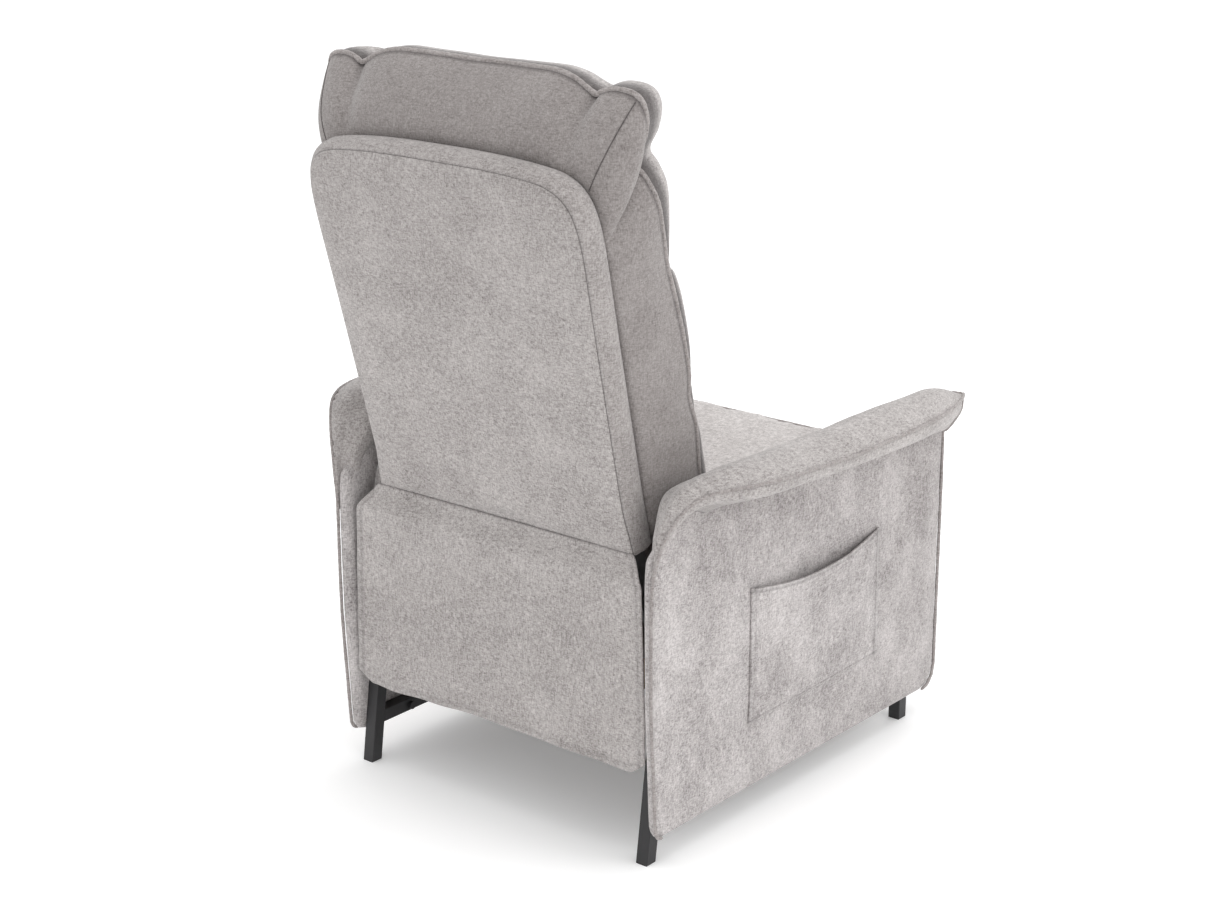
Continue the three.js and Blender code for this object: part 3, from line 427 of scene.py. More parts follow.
def welt(name, path, radius, towards, closed=False, sides=10):
    """A covered cord: a circle carried along a path, its cross axis square to `towards`, with
    rounded ends and a slight squeeze every few millimetres where the stitches pull."""
    path = np.asarray(path, float)
    if closed:
        tangent = np.roll(path, -1, 0) - np.roll(path, 1, 0)
    else:
        tangent = np.gradient(path, axis=0)
    tangent /= np.linalg.norm(tangent, axis=1)[:, None]
    side = np.cross(tangent, np.broadcast_to(towards, tangent.shape))
    side /= np.linalg.norm(side, axis=1)[:, None]
    up = np.cross(side, tangent)
    angle = np.linspace(0, 2 * np.pi, sides, endpoint=False)
    place = np.arange(len(path))
    size = np.full(len(path), float(radius))
    size *= 1 + 0.05 * np.sin(place * 1.9) + 0.05 * np.sin(place * 0.37)
    if not closed:
        size[[0, -1]] = 0.02
        size[[1, -2]] *= 0.75
    ring = np.cos(angle)[None, :, None] * side[:, None] + np.sin(angle)[None, :, None] * up[:, None]
    grid = path[:, None] + ring * size[:, None, None]
    if closed:
        grid = np.concatenate([grid, grid[:1]])
    return wear(skin(name, grid), shaded_cord_cloth)


# ---- Arms: a padded roll over the rail that flares out to a piped lip, and a covered board -----
# Foam over a beech rail, covered in one piece that turns under along the lip and is sewn to the
# board's cover; the board is padded plywood, bolted to the legs. Piping closes the lip seam.
ARM_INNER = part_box("arm_roll_left")[0].x * 1000
PANEL_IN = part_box("arm_panel_left")[0].x * 1000
PANEL_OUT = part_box("arm_panel_left")[1].x * 1000
ARM_FRONT = (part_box("arm_panel_left")[0].y - FEET_MIDDLE) * 1000
ARM_REAR = (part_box("arm_panel_left")[1].y - FEET_MIDDLE) * 1000
PANEL_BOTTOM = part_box("arm_panel_left")[0].z * 1000
LIP_REACH = (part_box("arm_roll_left")[1].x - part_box("arm_panel_left")[1].x) * 1000 - 1
LIP_HEIGHT = 541.0
BEND = np.array([215.0, 430.0])     # the rear end of the lip turns down about this place


def lip_line():
    """The lip in the side view: nearly level, then a superellipse down to the rear edge."""
    y = np.linspace(ARM_FRONT, BEND[0], 400)
    z = LIP_HEIGHT - 13 * (np.maximum(0, -120 - y) / 264) ** 2 + 11 * np.clip(y / BEND[0], 0, 1)
    swing = np.linspace(0, 1, 900)[1:] ** 2.5 * np.pi / 2
    bend_y = BEND[0] + (ARM_REAR - BEND[0]) * np.sin(swing) ** 0.4
    bend_z = z[-1] - 142 * (1 - np.cos(swing))
    down_z = np.linspace(bend_z[-1], 404, 12)[1:]
    line_y = np.concatenate([y, bend_y, np.full(len(down_z), ARM_REAR)])
    line_z = np.concatenate([z, bend_z, down_z])
    past = np.where(
        line_y > 150, (line_y - 150) / (ARM_REAR - 150), np.maximum(0, (-120 - line_y) / 300)
    )
    flare = LIP_REACH * np.maximum(0, 1 - past**2) ** 0.75
    return resampled(np.stack([PANEL_OUT + flare, line_y, line_z], -1), 220)


lip = lip_line()
flare = lip[:, 0] - PANEL_OUT
spine = np.stack([np.minimum(lip[:, 1], BEND[0]), np.minimum(lip[:, 2], BEND[1])], -1)
spine[lip[:, 1] < BEND[0], 1] = BEND[1]
outward = lip[:, 1:] - spine
outward /= np.linalg.norm(outward, axis=1)[:, None]
lip_angle = np.degrees(np.arctan2(outward[:, 1], outward[:, 0]))     # 90 along the top, 0 behind
front_share = np.clip((lip[:, 1] - ARM_FRONT) / (227 - ARM_FRONT), 0, 1)
crease_height = 464 + 30 * front_share**2 * (3 - 2 * front_share)
fold_depth = np.where(
    lip[:, 1] < 227,
    lip[:, 2] - crease_height,
    np.interp(lip_angle, [0, 8, 14, 24, 42, 84], [3, 4, 9, 25, 40, 58]),
)
crown_height = np.interp(lip_angle, [0, 20, 45, 70, 90], [1.5, 2.5, 6, 13, 19])
crown_height = np.where(lip[:, 1] < 215, np.interp(lip[:, 1], [0, 215], [25, 19]), crown_height)
crown_height -= 25 * np.maximum(0, (-270 - lip[:, 1]) / 112) ** 1.6

TOP_STOPS = [
    # across: share of the way from the inner face to the board, and of the flare; height: share
    # of the crown, and millimetres
    (0.0, 0.0, 1.0, -72.0), (0.02, 0.0, 1.0, -56.0), (0.12, 0.0, 1.0, -44.0),
    (0.38, 0.0, 1.0, -34.0), (0.72, 0.0, 1.0, -25.5), (1.0, 0.03, 1.0, -18.5),
    (1.0, 0.2, 1.0, -9.0), (1.0, 0.38, 1.0, -2.0), (1.0, 0.56, 0.93, 0.0), (1.0, 0.75, 0.7, 0.0),
    (1.0, 0.9, 0.36, 0.3), (1.0, 0.98, 0.1, 0.2), (1.0, 1.0, 0.0, 0.0),
]
UNDER_STOPS = [
    # share of the flare, millimetres below the lip where the fold is 66 deep
    (1.0, 0.0), (1.0, 6.0), (0.995, 12.0), (0.98, 18.0), (0.92, 24.0), (0.75, 31.5), (0.42, 44.0),
    (0.13, 58.0), (0.0, 66.0),
]
TUCK_PLACES = ((268.0, 1), (284.0, 1), (497.0, 2), (481.0, 2))     # along Y, then down Z


def arm_roll_rings():
    """One ring of points for each place along the lip. Across and height follow the stops above,
    read by a smooth curve; height is measured out from the bend or up from the lip."""
    top = spline(TOP_STOPS, np.linspace(0, len(TOP_STOPS) - 1, 46), closed=False)
    under = spline(UNDER_STOPS, np.linspace(0, len(UNDER_STOPS) - 1, 20), closed=False)[1:]
    narrow = np.clip((86 - lip_angle) / 58, 0, 1)[:, None]
    inner = ARM_INNER + (PANEL_IN - ARM_INNER) * narrow**2 * (3 - 2 * narrow)
    top_x = inner + (PANEL_OUT - inner) * top[:, 0] + flare[:, None] * top[:, 1]
    top_h = crown_height[:, None] * top[:, 2] + top[:, 3] * (1 - 0.55 * narrow)
    blunt = 1 - 0.45 * np.clip((-300 - lip[:, 1:2]) / 82, 0, 1)
    under_x = PANEL_OUT + flare[:, None] * np.clip(under[:, 0], 0, 1) ** blunt
    under_h = -fold_depth[:, None] * under[:, 1] / 66
    inside = np.linspace(0, 1, 8)[1:-1]
    low = np.minimum(under_h[:, -1:], top_h[:, :1]) - 6
    inside_x = under_x[:, -1:] + (top_x[:, :1] - under_x[:, -1:]) * inside
    inside_h = low + 0 * inside_x
    across = np.concatenate([top_x, under_x, inside_x], 1)
    height = np.concatenate([top_h, under_h, inside_h], 1)
    near_lip = np.exp(-(((across - lip[:, :1]) / 22) ** 2)) * (height > -1)
    for place, axis in TUCK_PLACES:
        here = lip[:, 1] > 200 if axis == 2 else lip[:, 2] > 500
        pull = 3.4 * np.exp(-(((lip[:, axis] - place) / 2.6) ** 2)) * here
        height = height - pull[:, None] * near_lip
    bumpy = wave(lip[:, 1:2] + 0 * across, lip[:, 2:3] + across, 150, 4) * 0.9
    bumpy = bumpy * (np.arange(across.shape[1]) < 44) * (np.arange(across.shape[1]) > 5)
    height = height + bumpy
    side = lip[:, None, 1:] + outward[:, None, :] * height[..., None]
    return np.concatenate([across[..., None], side], -1), top_x.shape[1], under_x.shape[1]


def capped(rings, bulge, steps=7):
    """Rings with a domed end at each end: copies of the end ring that shrink to its middle and
    stand out by a quarter ellipse."""
    def dome(ring, away):
        middle = ring.mean(0)
        size = np.cos(np.linspace(0, np.pi / 2, steps + 1)[1:])[:, None, None]
        out = np.sin(np.linspace(0, np.pi / 2, steps + 1)[1:])[:, None, None] ** 0.6
        return middle + (ring - middle) * size + np.asarray(away) * bulge * out
    start = dome(rings[0], (0, -1, 0))[::-1]
    end = dome(rings[-1], (0, 0, -1))
    return np.concatenate([start, rings, end])


rings, top_count, under_count = arm_roll_rings()
roll_grid = capped(rings, 3.0)
# Painted shade: dark lines in the crease where the flare meets the board and beside the lip's
# piping, and darker cloth on faces turned to the rear.
roll_seam_shade = np.zeros(roll_grid.shape[:2])
crease_column = top_count + under_count - 1
roll_seam_shade[:, crease_column - 1 : crease_column + 2] = (0.3, 0.8, 0.8)
roll_seam_shade[:, top_count - 1] = 1.0
roll_seam_shade[:, top_count] = 0.8
roll_rear_shade = 0.35 * np.clip((60 - lip_angle) / 40, 0, 1)
roll_rear_shade = np.concatenate([[roll_rear_shade[0]] * 7, roll_rear_shade, [roll_rear_shade[-1]] * 7])
roll_painted_shade = np.broadcast_to(roll_rear_shade[:, None], roll_seam_shade.shape)

panel_rear_down = np.array([
    (ARM_REAR, 380), (ARM_REAR, 302), (ARM_REAR - 1.0, 240), (ARM_REAR - 4, 187),
    (ARM_REAR - 8, 130), (ARM_REAR - 11, 80), (ARM_REAR - 13, 58), (ARM_REAR - 18, 49),
    (ARM_REAR - 30, PANEL_BOTTOM),
])
panel_front_up = np.array([
    (ARM_FRONT + 34, PANEL_BOTTOM), (ARM_FRONT + 16, PANEL_BOTTOM + 5),
    (ARM_FRONT + 4, PANEL_BOTTOM + 18), (ARM_FRONT, PANEL_BOTTOM + 36), (ARM_FRONT, 250),
    (ARM_FRONT, 380), (ARM_FRONT, 455),
])
BOARD_INTO_ROLL = 8     # the board's top stands this far into the roll
panel_top = lip[::5, 1:] - (outward * np.maximum(fold_depth - BOARD_INTO_ROLL, 0)[:, None])[::5]
panel_outline = np.vstack([panel_front_up, panel_top, panel_rear_down])


def boxed(outline, core, rows):
    """A padded board: the outline shrinks towards a line between the core's two ends. Each row
    gives the share left of the way out from that line, an inset in millimetres and a depth."""
    outline = np.asarray(outline, float)
    start, end = np.asarray(core, float)
    along = end - start
    share = np.clip((outline - start) @ along / max(along @ along, 1e-9), 0, 1)
    middle = start + share[:, None] * along
    span = np.linalg.norm(outline - middle, axis=1)
    left, inset, depth = np.asarray(rows, float).T[:, :, None]
    size = left - inset / span
    flat = middle + (outline - middle) * size[..., None]
    return np.concatenate([flat, np.broadcast_to(depth[..., None], (*size.shape, 1))], -1)


def rounded_box(low, high, radius, count):
    """A rectangle with rounded corners, as an evenly spaced loop."""
    angle = np.linspace(0, np.pi / 2, 12)
    arc = np.stack([np.cos(angle), np.sin(angle)], -1) * radius
    turns = [((1, 1), 0), ((-1, 1), 1), ((-1, -1), 2), ((1, -1), 3)]
    corners = []
    for (right, upper), quarter in turns:
        c, s = np.cos(quarter * np.pi / 2), np.sin(quarter * np.pi / 2)
        turned = arc @ np.array([[c, s], [-s, c]])
        centre_x = high[0] - radius if right > 0 else low[0] + radius
        centre_y = high[1] - radius if upper > 0 else low[1] + radius
        corners.append(turned + (centre_x, centre_y))
    loop = np.vstack(corners)
    return resampled(np.column_stack([loop, np.zeros(len(loop))]), count, closed=True)[:, :2]


flat_outline = np.column_stack([panel_outline, np.zeros(len(panel_outline))])
panel_loop = resampled(flat_outline, 360, closed=True)[:, :2]
THICK = PANEL_OUT - PANEL_IN
PANEL_ROWS = [(left, 0, 3.2) for left in (0.0, 0.15, 0.3, 0.42, 0.52, 0.61)]
PANEL_ROWS += [(0.69, 0, 3.0), (0.76, 0, 2.7), (0.82, 0, 2.4), (0.87, 0, 2.0), (0.91, 0, 1.5)]
PANEL_ROWS += [(1, 10, 0.8), (1, 6, 0.2), (1, 3.4, -0.6), (1, 1.6, -1.6), (1, 0.5, -3.2)]
PANEL_ROWS += [(1, 0, -5)]
PANEL_ROWS += [(1, 0, -8), (1, 1.5, -11), (1, 5, -13.5), (1, 10, -15.4), (1, 17, -THICK)]
PANEL_ROWS += [(0.6, 0, -THICK), (0.0, 0, -THICK)]
panel_grid = boxed(panel_loop, ((-250, 250), (190, 250)), PANEL_ROWS)
depth = panel_grid[..., 2]
face_rows = (np.arange(len(PANEL_ROWS)) < 12)[:, None]
depth = depth + face_rows * wave(panel_grid[..., 0], panel_grid[..., 1], 190, 9) * 1.1
panel_grid = np.stack([PANEL_OUT + depth, panel_grid[..., 0], panel_grid[..., 1]], -1)

rear_edge = np.array([[PANEL_OUT, *p] for p in panel_rear_down])
# The board's cover is darker towards its front end.
panel_darker_to_front = 0.25 * np.clip((-120 - panel_grid[..., 1]) / 200, 0, 1)
front_under = rings[0][top_count - 1 : crease_column + 1][::-1]
lip_path = np.vstack([
    np.array([[PANEL_OUT + 1, *p] for p in panel_front_up[:-1]]),
    front_under,
    lip + np.column_stack([np.full(len(lip), 1.5), outward * 0.5]),
    rear_edge + (1, 1, 0),
])
lip_path = resampled(lip_path, 520)
front_path = resampled(rings[0][:top_count] + (0, 1.0, 0), 90)
lining_outline = np.array([
    (ARM_FRONT + 6, 300), (ARM_FRONT + 4, 400), (ARM_FRONT + 10, 470), (-300, 496), (-120, 502),
    (100, 504), (200, 502), (250, 490), (278, 460), (290, 410), (292, 300),
])
lining_loop = resampled(
    np.column_stack([lining_outline, np.zeros(len(lining_outline))]), 200, closed=True
)[:, :2]
LINING_ROWS = [(0.0, 0, 0.4), (0.6, 0, 0.4), (0.9, 0, 0.2), (1, 6, 0), (1, 2, 1.5), (1, 0, 4)]
LINING_ROWS += [(1, 0, 16), (0.5, 0, 16), (0.0, 0, 16)]
lining_grid = boxed(lining_loop, ((-240, 420), (180, 420)), LINING_ROWS)
lining_grid = np.stack(
    [ARM_INNER + lining_grid[..., 2], lining_grid[..., 0], lining_grid[..., 1]], -1
)

FACING_LOW = np.array([ARM_INNER - 3.8, 62.0])
FACING_HIGH = np.array([PANEL_OUT - 1.5, 478.0])
facing_loop = rounded_box(FACING_LOW, FACING_HIGH, 9, 240)
FACING_ROWS = [(0, 0, 1.6), (0.5, 0, 1.5), (1, 8, 1.2), (1, 4, 0.6), (1, 1.4, -1), (1, 0.3, -3)]
FACING_ROWS += [(1, 0, -8), (1, 0, -32), (0.5, 0, -32), (0, 0, -32)]
facing_core = ((FACING_LOW[0] + 22, 90), (FACING_LOW[0] + 22, 450))
facing_grid = boxed(facing_loop, facing_core, FACING_ROWS)
facing_grid = np.stack(
    [facing_grid[..., 0], ARM_FRONT + 4 - facing_grid[..., 2], facing_grid[..., 1]], -1
)

for side, hand in (("left", 1), ("right", -1)):
    facing = np.array([hand, 1, 1])
    front = wear(skin(f"arm_facing_{side}", facing_grid * facing), plain_cloth)
    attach(front, "base")
    roll = skin(f"arm_roll_cover_{side}", roll_grid * facing, seam_shade=roll_seam_shade, nap_and_painted_shade=roll_painted_shade)
    wear(roll, plain_cloth)
    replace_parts(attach(roll, "base"), f"arm_roll_{side}")
    panel = skin(f"arm_panel_cover_{side}", panel_grid * facing, nap_and_painted_shade=panel_darker_to_front)
    wear(panel, panel_cloth)
    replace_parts(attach(panel, "base"), f"arm_panel_{side}")
    lining = wear(skin(f"arm_lining_{side}", lining_grid * facing), plain_cloth)
    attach(lining, "base")
    lip_cord = welt(f"arm_lip_piping_{side}", lip_path * facing, 2.6, (1, 0.2, 0))
    front_cord = welt(f"arm_front_piping_{side}", front_path * facing, 3.2, (0, 1, 0))
    for piece in (front, roll, panel, lining, lip_cord, front_cord):
        if piece.parent is None:
            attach(piece, "base")

# ---- Side pocket: a patch of the same cloth sewn on three edges, its mouth hemmed and sagging ---
# Its rear, lower and front edges are top-stitched to the right arm's board; the mouth is turned
# over, stitched, and slack enough to stand off the board.
POCKET_REAR = [(115.0, 150.0), (114, 220), (114, 290), (116, 356)]
POCKET_FRONT = [(-211.0, 154.0), (-209, 222), (-207, 292), (-205, 358)]
POCKET_MOUTH = [(116, 356), (60, 348), (-5, 343), (-95, 345), (-160, 352), (-205, 358)]


def pocket_points(rows=60, columns=80):
    """Between the front and rear edges in straight rows; the top row follows the mouth's sag,
    which dies away downwards. It stands off the board by its gape, greatest at the mouth."""
    up = np.linspace(0, 1, rows)
    rear = spline(POCKET_REAR, up * 3, closed=False)
    front = spline(POCKET_FRONT, up * 3, closed=False)
    across = np.linspace(0, 1, columns)[None, :, None]
    flat = rear[:, None] * (1 - across) + front[:, None] * across
    mouth = spline(POCKET_MOUTH, np.linspace(0, 5, 200), closed=False)
    mouth_z = np.interp(-flat[-1, :, 0], -mouth[:, 0], mouth[:, 1])
    sag = mouth_z - flat[-1, :, 1]
    flat[..., 1] += sag[None, :] * up[:, None] ** 1.6
    share = across[..., 0]
    gape = 15 * (np.sin(np.pi * share) ** 0.8) * up[:, None] ** 2.2
    belly = 3.2 * np.sin(np.pi * share) ** 0.5 * np.sin(np.pi * up[:, None]) ** 0.6
    ripple = 0.8 * wave(flat[..., 0], flat[..., 1], 90, 21) * np.sin(np.pi * share)
    x = PANEL_OUT + 4.6 + gape + belly + ripple * up[:, None]
    share, up = np.broadcast_arrays(share, up[:, None])
    return np.stack([-x, flat[..., 0], flat[..., 1]], -1), share, up


pocket_grid, pocket_share, pocket_up = pocket_points()
# Painted shade along the hem's stitching under the mouth and the top-stitched rear, front and lower
# edges.
pocket_stitch_shade = np.exp(-(((pocket_up - 0.955) / 0.012) ** 2)) * 0.5
pocket_stitch_shade += np.exp(-(((pocket_share - 0.97) / 0.006) ** 2)) * 0.7
pocket_stitch_shade += np.exp(-(((pocket_share - 0.03) / 0.006) ** 2)) * 0.4
pocket_stitch_shade += np.exp(-(((pocket_up - 0.035) / 0.01) ** 2)) * 0.4
pocket = skin("side_pocket_cloth", pocket_grid, wrap=False, seam_shade=np.clip(pocket_stitch_shade, 0, 1), merge=False)
cloth = pocket.modifiers.new("cloth", "SOLIDIFY")
cloth.thickness = 0.0026
cloth.offset = 0
wear(pocket, panel_cloth)
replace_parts(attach(pocket, "base"), "side_pocket")

# ---- Seat: a boxed foam cushion, crowned on top, piped round its top edge ----------------------
# A foam block on the seat springs, its top panel sewn to a boxing strip with piping in the seam.
seat_low, seat_high = (np.array(corner) * 1000 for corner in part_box("seat_cushion"))
seat_low[1] -= FEET_MIDDLE * 1000
seat_high[1] -= FEET_MIDDLE * 1000


VOXEL = 0.006
FILL_FRAMES = 20
FILL_PRESSURE = 4


def corners_of(mesh):
    """The mesh's points, one row each."""
    places = np.empty(len(mesh.vertices) * 3)
    mesh.vertices.foreach_get("co", places)
    return places.reshape(-1, 3)


def finished(piece):
    """The piece's mesh with its modifiers worked in, and none left on it."""
    shaped = piece.evaluated_get(bpy.context.evaluated_depsgraph_get())
    piece.data = bpy.data.meshes.new_from_object(shaped)
    piece.modifiers.clear()
    return piece


def blown(grid, cap, low, high):
    """Foam pressing its cover out: an evenly remeshed copy is filled by cloth simulation for 20
    frames without weight, each point is held within the cap and the box, and the grid is drawn
    onto the result."""
    bag = skin("filling", grid)
    even = bag.modifiers.new("even", "REMESH")
    even.mode = "VOXEL"
    even.voxel_size = VOXEL
    finished(bag)
    slack = corners_of(bag.data)
    fill = bag.modifiers.new("fill", "CLOTH")
    fill.settings.use_pressure = True
    fill.settings.uniform_pressure_force = FILL_PRESSURE
    fill.settings.effector_weights.gravity = 0
    for frame_number in range(1, FILL_FRAMES + 1):
        bpy.context.scene.frame_set(frame_number)
    finished(bag)
    bpy.context.scene.frame_set(1)
    moved = corners_of(bag.data) - slack
    far = np.linalg.norm(moved, axis=1)[:, None]
    moved *= np.minimum(1, cap / 1000 / np.maximum(far, 1e-9))
    shift = np.array((0, FEET_MIDDLE, 0))
    held = np.clip(slack + moved, np.array(low) / 1000 + shift, np.array(high) / 1000 + shift)
    bag.data.vertices.foreach_set("co", held.ravel())
    bag.data.update()
    lines = bpy.data.meshes.new("lines")
    lines.from_pydata((grid.reshape(-1, 3) / 1000 + shift).tolist(), [], [])
    drawn = bpy.data.objects.new("lines", lines)
    bpy.context.scene.collection.objects.link(drawn)
    onto = drawn.modifiers.new("onto", "SHRINKWRAP")
    onto.target = bag
    places = corners_of(finished(drawn).data)
    bpy.data.objects.remove(drawn)
    bpy.data.objects.remove(bag)
    return ((places - shift) * 1000).reshape(grid.shape)


seat_loop = rounded_box(seat_low[:2] + 1, seat_high[:2] - 1, 28, 420)
seat_top, seat_bottom = seat_high[2], seat_low[2]
seat_thick = seat_top - seat_bottom
SEAT_ROWS = [(left, 0, 0.0) for left in (0.0, 0.12, 0.25, 0.36, 0.46, 0.55)]
SEAT_ROWS += [(left, 0, 0.0) for left in (0.64, 0.72, 0.79, 0.86, 0.92)]
SEAT_ROWS += [(1, 10, -0.4), (1, 6.5, -1.2), (1, 4.2, -2.4), (1, 3.0, -3.8), (1, 2.6, -5.2)]
SEAT_ROWS += [(1, 2.6, -7)]
SEAT_ROWS += [
    (1, 2.4 - 2.4 * np.sin(np.pi * k), -7 - (seat_thick - 14) * k)
    for k in np.linspace(0.08, 0.92, 11)
]
SEAT_ROWS += [(1, 2.6, 6 - seat_thick), (1, 5, 2 - seat_thick), (1, 10, -seat_thick)]
SEAT_ROWS += [(0.5, 0, -seat_thick), (0.0, 0, -seat_thick)]
seat_grid = boxed(seat_loop, ((0, -250), (0, 40)), SEAT_ROWS)
seat_x, seat_y = seat_grid[..., 0], seat_grid[..., 1]
half = (seat_high[0] - seat_low[0]) / 2
edge_x = np.clip(1 - np.abs(seat_x / half) ** 3.2, 0, 1)
seat_middle = (seat_low[1] + seat_high[1]) / 2
seat_reach = (seat_high[1] - seat_low[1]) / 2
edge_y = np.clip(1 - np.abs((seat_y - seat_middle) / seat_reach) ** 4, 0, 1)
top_rows = (np.arange(len(SEAT_ROWS)) < 13)[:, None]
seat_crown = 5 * (edge_x * edge_y) ** 0.55 + 1.0 * wave(seat_x, seat_y, 130, 2)
seat_grid[..., 2] += top_rows * seat_crown
seat_grid[..., 2] += seat_top
seat_grid = blown(
    seat_grid, 12.0, (seat_low[0], seat_low[1] - 8, seat_bottom), (seat_high[0], 999, seat_top + 12)
)
seat = skin("seat_cushion_cover", seat_grid)
wear(seat, lit_seat_cloth)
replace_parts(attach(seat, "seat"), "seat_cushion")
SEAT_SEAM_ROW = 15
seam_height = np.full(seat_grid.shape[1], seat_top - 4.6)
seat_cord_path = np.column_stack([seat_grid[SEAT_SEAM_ROW][:, :2], seam_height])
seat_cord = welt("seat_piping", seat_cord_path, 3.0, (0, 0, 1), closed=True)
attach(seat_cord, "seat")

# ---- Outer back: a boxed upholstered slab, its rear face seamed to the boxing ------------------
# A covered frame: the rear face is one cloth, sewn to a boxing strip that turns forward round the
# sides and top. It leans back with the frame behind it.
TILT = np.radians(14.2)
SLAB_FOOT = np.array([303.9, (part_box("outer_back")[0].z) * 1000])
SLAB_THICK = 44.0


def on_back(points):
    """Points given across, up the slope and forward of the slab's rear face, as places."""
    across, up, forward = points[..., 0], points[..., 1], points[..., 2]
    y = SLAB_FOOT[0] + up * np.sin(TILT) - forward * np.cos(TILT)
    z = SLAB_FOOT[1] + up * np.cos(TILT) + forward * np.sin(TILT)
    return np.stack([across, y, z], -1)


SLAB_SIDE = [(0, 0), (120, 0), (228, 0), (236, 2), (237.2, 12), (239.5, 120), (244, 290)]
SLAB_SIDE += [(247.5, 400), (247.8, 450), (244.5, 486), (234.5, 514), (214, 533), (180, 543.5)]
SLAB_SIDE += [(100, 551)]
slab_half = np.array(SLAB_SIDE, float)
slab_whole = np.vstack([slab_half, [(0, 553)], (slab_half * (-1, 1))[:0:-1]])
slab_dense = spline(slab_whole, np.linspace(0, len(slab_whole), 2400, endpoint=False))
slab_loop = resampled(np.column_stack([slab_dense, np.zeros(len(slab_dense))]), 520, True)[:, :2]
SLAB_ROWS = [(left, 0, 3.4) for left in (0.0, 0.13, 0.26, 0.38, 0.49)]
SLAB_ROWS += [(left, 0, 3.4) for left in (0.59, 0.68, 0.76, 0.83, 0.89)]
SLAB_ROWS += [(1, 16, 1.9), (1, 9, 1.1), (1, 5, 0.2), (1, 3.2, -0.7), (1, 2.4, -1.5)]
SLAB_ROWS += [(1, 2.5, -2.1), (1, 1.6, -2.7), (1, 0.8, -4.2), (1, 0.2, -8)]
SLAB_ROWS += [(1, 0.2 - 1.2 * np.sin(np.pi * k), -8 - 28 * k) for k in (0.2, 0.4, 0.6, 0.8)]
SLAB_ROWS += [(1, 0.8, -37), (1, 2.4, -40.5), (1, 5.5, -43), (1, 12, -SLAB_THICK)]
SLAB_ROWS += [(0.5, 0, -SLAB_THICK), (0, 0, -SLAB_THICK)]
slab_grid = boxed(slab_loop, ((0, 150), (0, 360)), SLAB_ROWS)
draw_in = np.interp(slab_grid[..., 2], [-44, -30, -16, -2.2, 3.4], [2.5, 0, 0, 8.0, 8.0])
draw_in = draw_in * np.clip(slab_grid[..., 1] / 60, 0, 1)
middle_up = np.clip(slab_grid[..., 1], 150, 360)
reach_out = np.hypot(slab_grid[..., 0], slab_grid[..., 1] - middle_up)
keep = 1 - draw_in / np.maximum(reach_out, 40)
slab_grid[..., 0] *= keep
slab_grid[..., 1] = middle_up + (slab_grid[..., 1] - middle_up) * keep
face_rows = (np.arange(len(SLAB_ROWS)) < 11)[:, None]
slab_bumps = face_rows * (0.9 * wave(slab_grid[..., 0], slab_grid[..., 1], 170, 12))
slab_grid[..., 2] = -(slab_grid[..., 2] + slab_bumps - 2.0)
# Painted shade: a dark line along the seam between the rear face and the boxing, the rear face
# darker towards its top, and the boxing strip darker all round.
slab_seam_shade = np.zeros(slab_grid.shape[:2])
slab_seam_shade[14:17] = np.array([0.3, 1.0, 0.3])[:, None]
slab_painted_shade = 0.3 * np.clip((slab_grid[..., 1] - 240) / 300, 0, 1)
slab_painted_shade[17:] = 0.5
slab = skin("outer_back_cover", on_back(slab_grid), seam_shade=slab_seam_shade, nap_and_painted_shade=slab_painted_shade)
wear(slab, plain_cloth)
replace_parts(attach(slab, "back"), "outer_back")

# ---- Back cushion: a tall soft pillow, piped, with three stitched channels across its front ----
# A boxed cover filled loosely with fibre: the front is sewn across in three channels, the boxing
# is mitred at the top corners, and tucks take in the piping on either side of each corner.
PILLOW_STOPS = np.array([
    # piping: across, up, forward; rear edge: across, up
    (0, 635, 126, 0, 552), (50, 636, 126, 46, 552), (99, 636.5, 125, 92, 551),
    (139, 636, 124, 130, 549), (170, 630, 121, 158, 545), (191, 620, 118, 176, 540),
    (206, 614, 116, 188, 536), (217, 619, 117, 198, 531), (234, 623, 119, 208, 525),
    (256, 621, 121, 217, 518), (270, 614, 122, 226, 506), (276, 602, 122, 233, 492),
    (275, 583, 123, 237, 474), (264, 556, 124, 240, 456), (243, 523, 124, 241, 438),
    (251, 500, 131, 241, 421), (258, 467, 138, 241, 398), (254, 421, 144, 241, 365),
    (248, 371, 149, 241, 330), (250, 306, 153, 240, 290), (251, 250, 155, 239, 245),
    (250, 205, 155, 239, 203), (247, 170, 151, 238, 168), (248, 125, 155, 237, 125),
    (244, 70, 153, 234, 70), (240, 20, 151, 230, 20), (226, -12, 150, 215, -5),
    (180, -24, 149, 170, -20), (90, -26, 148, 85, -22), (0, -26, 148, 0, -22),
], float)
CHANNELS = (370.0, 200.0, 138.0)
pillow_stops = np.vstack([PILLOW_STOPS, (PILLOW_STOPS * (-1, 1, 1, -1, 1))[-2:0:-1]])
dense_at = np.linspace(0, len(pillow_stops), 4000, endpoint=False)
pillow_dense = spline(pillow_stops, dense_at)
pillow_at = evenly(pillow_dense[:, :3], 640, closed=True)
pillow_at = np.interp(pillow_at, np.arange(4001), np.append(dense_at, len(pillow_stops)))
pillow_edges = spline(pillow_stops, pillow_at)
pillow_pipe, pillow_rear = pillow_edges[:, :3], pillow_edges[:, 3:]
PILLOW_REAR_T = 46.0
PILLOW_FRONT_T = 152
TUCKS = ((206.0, 614.0), (243.0, 523.0))


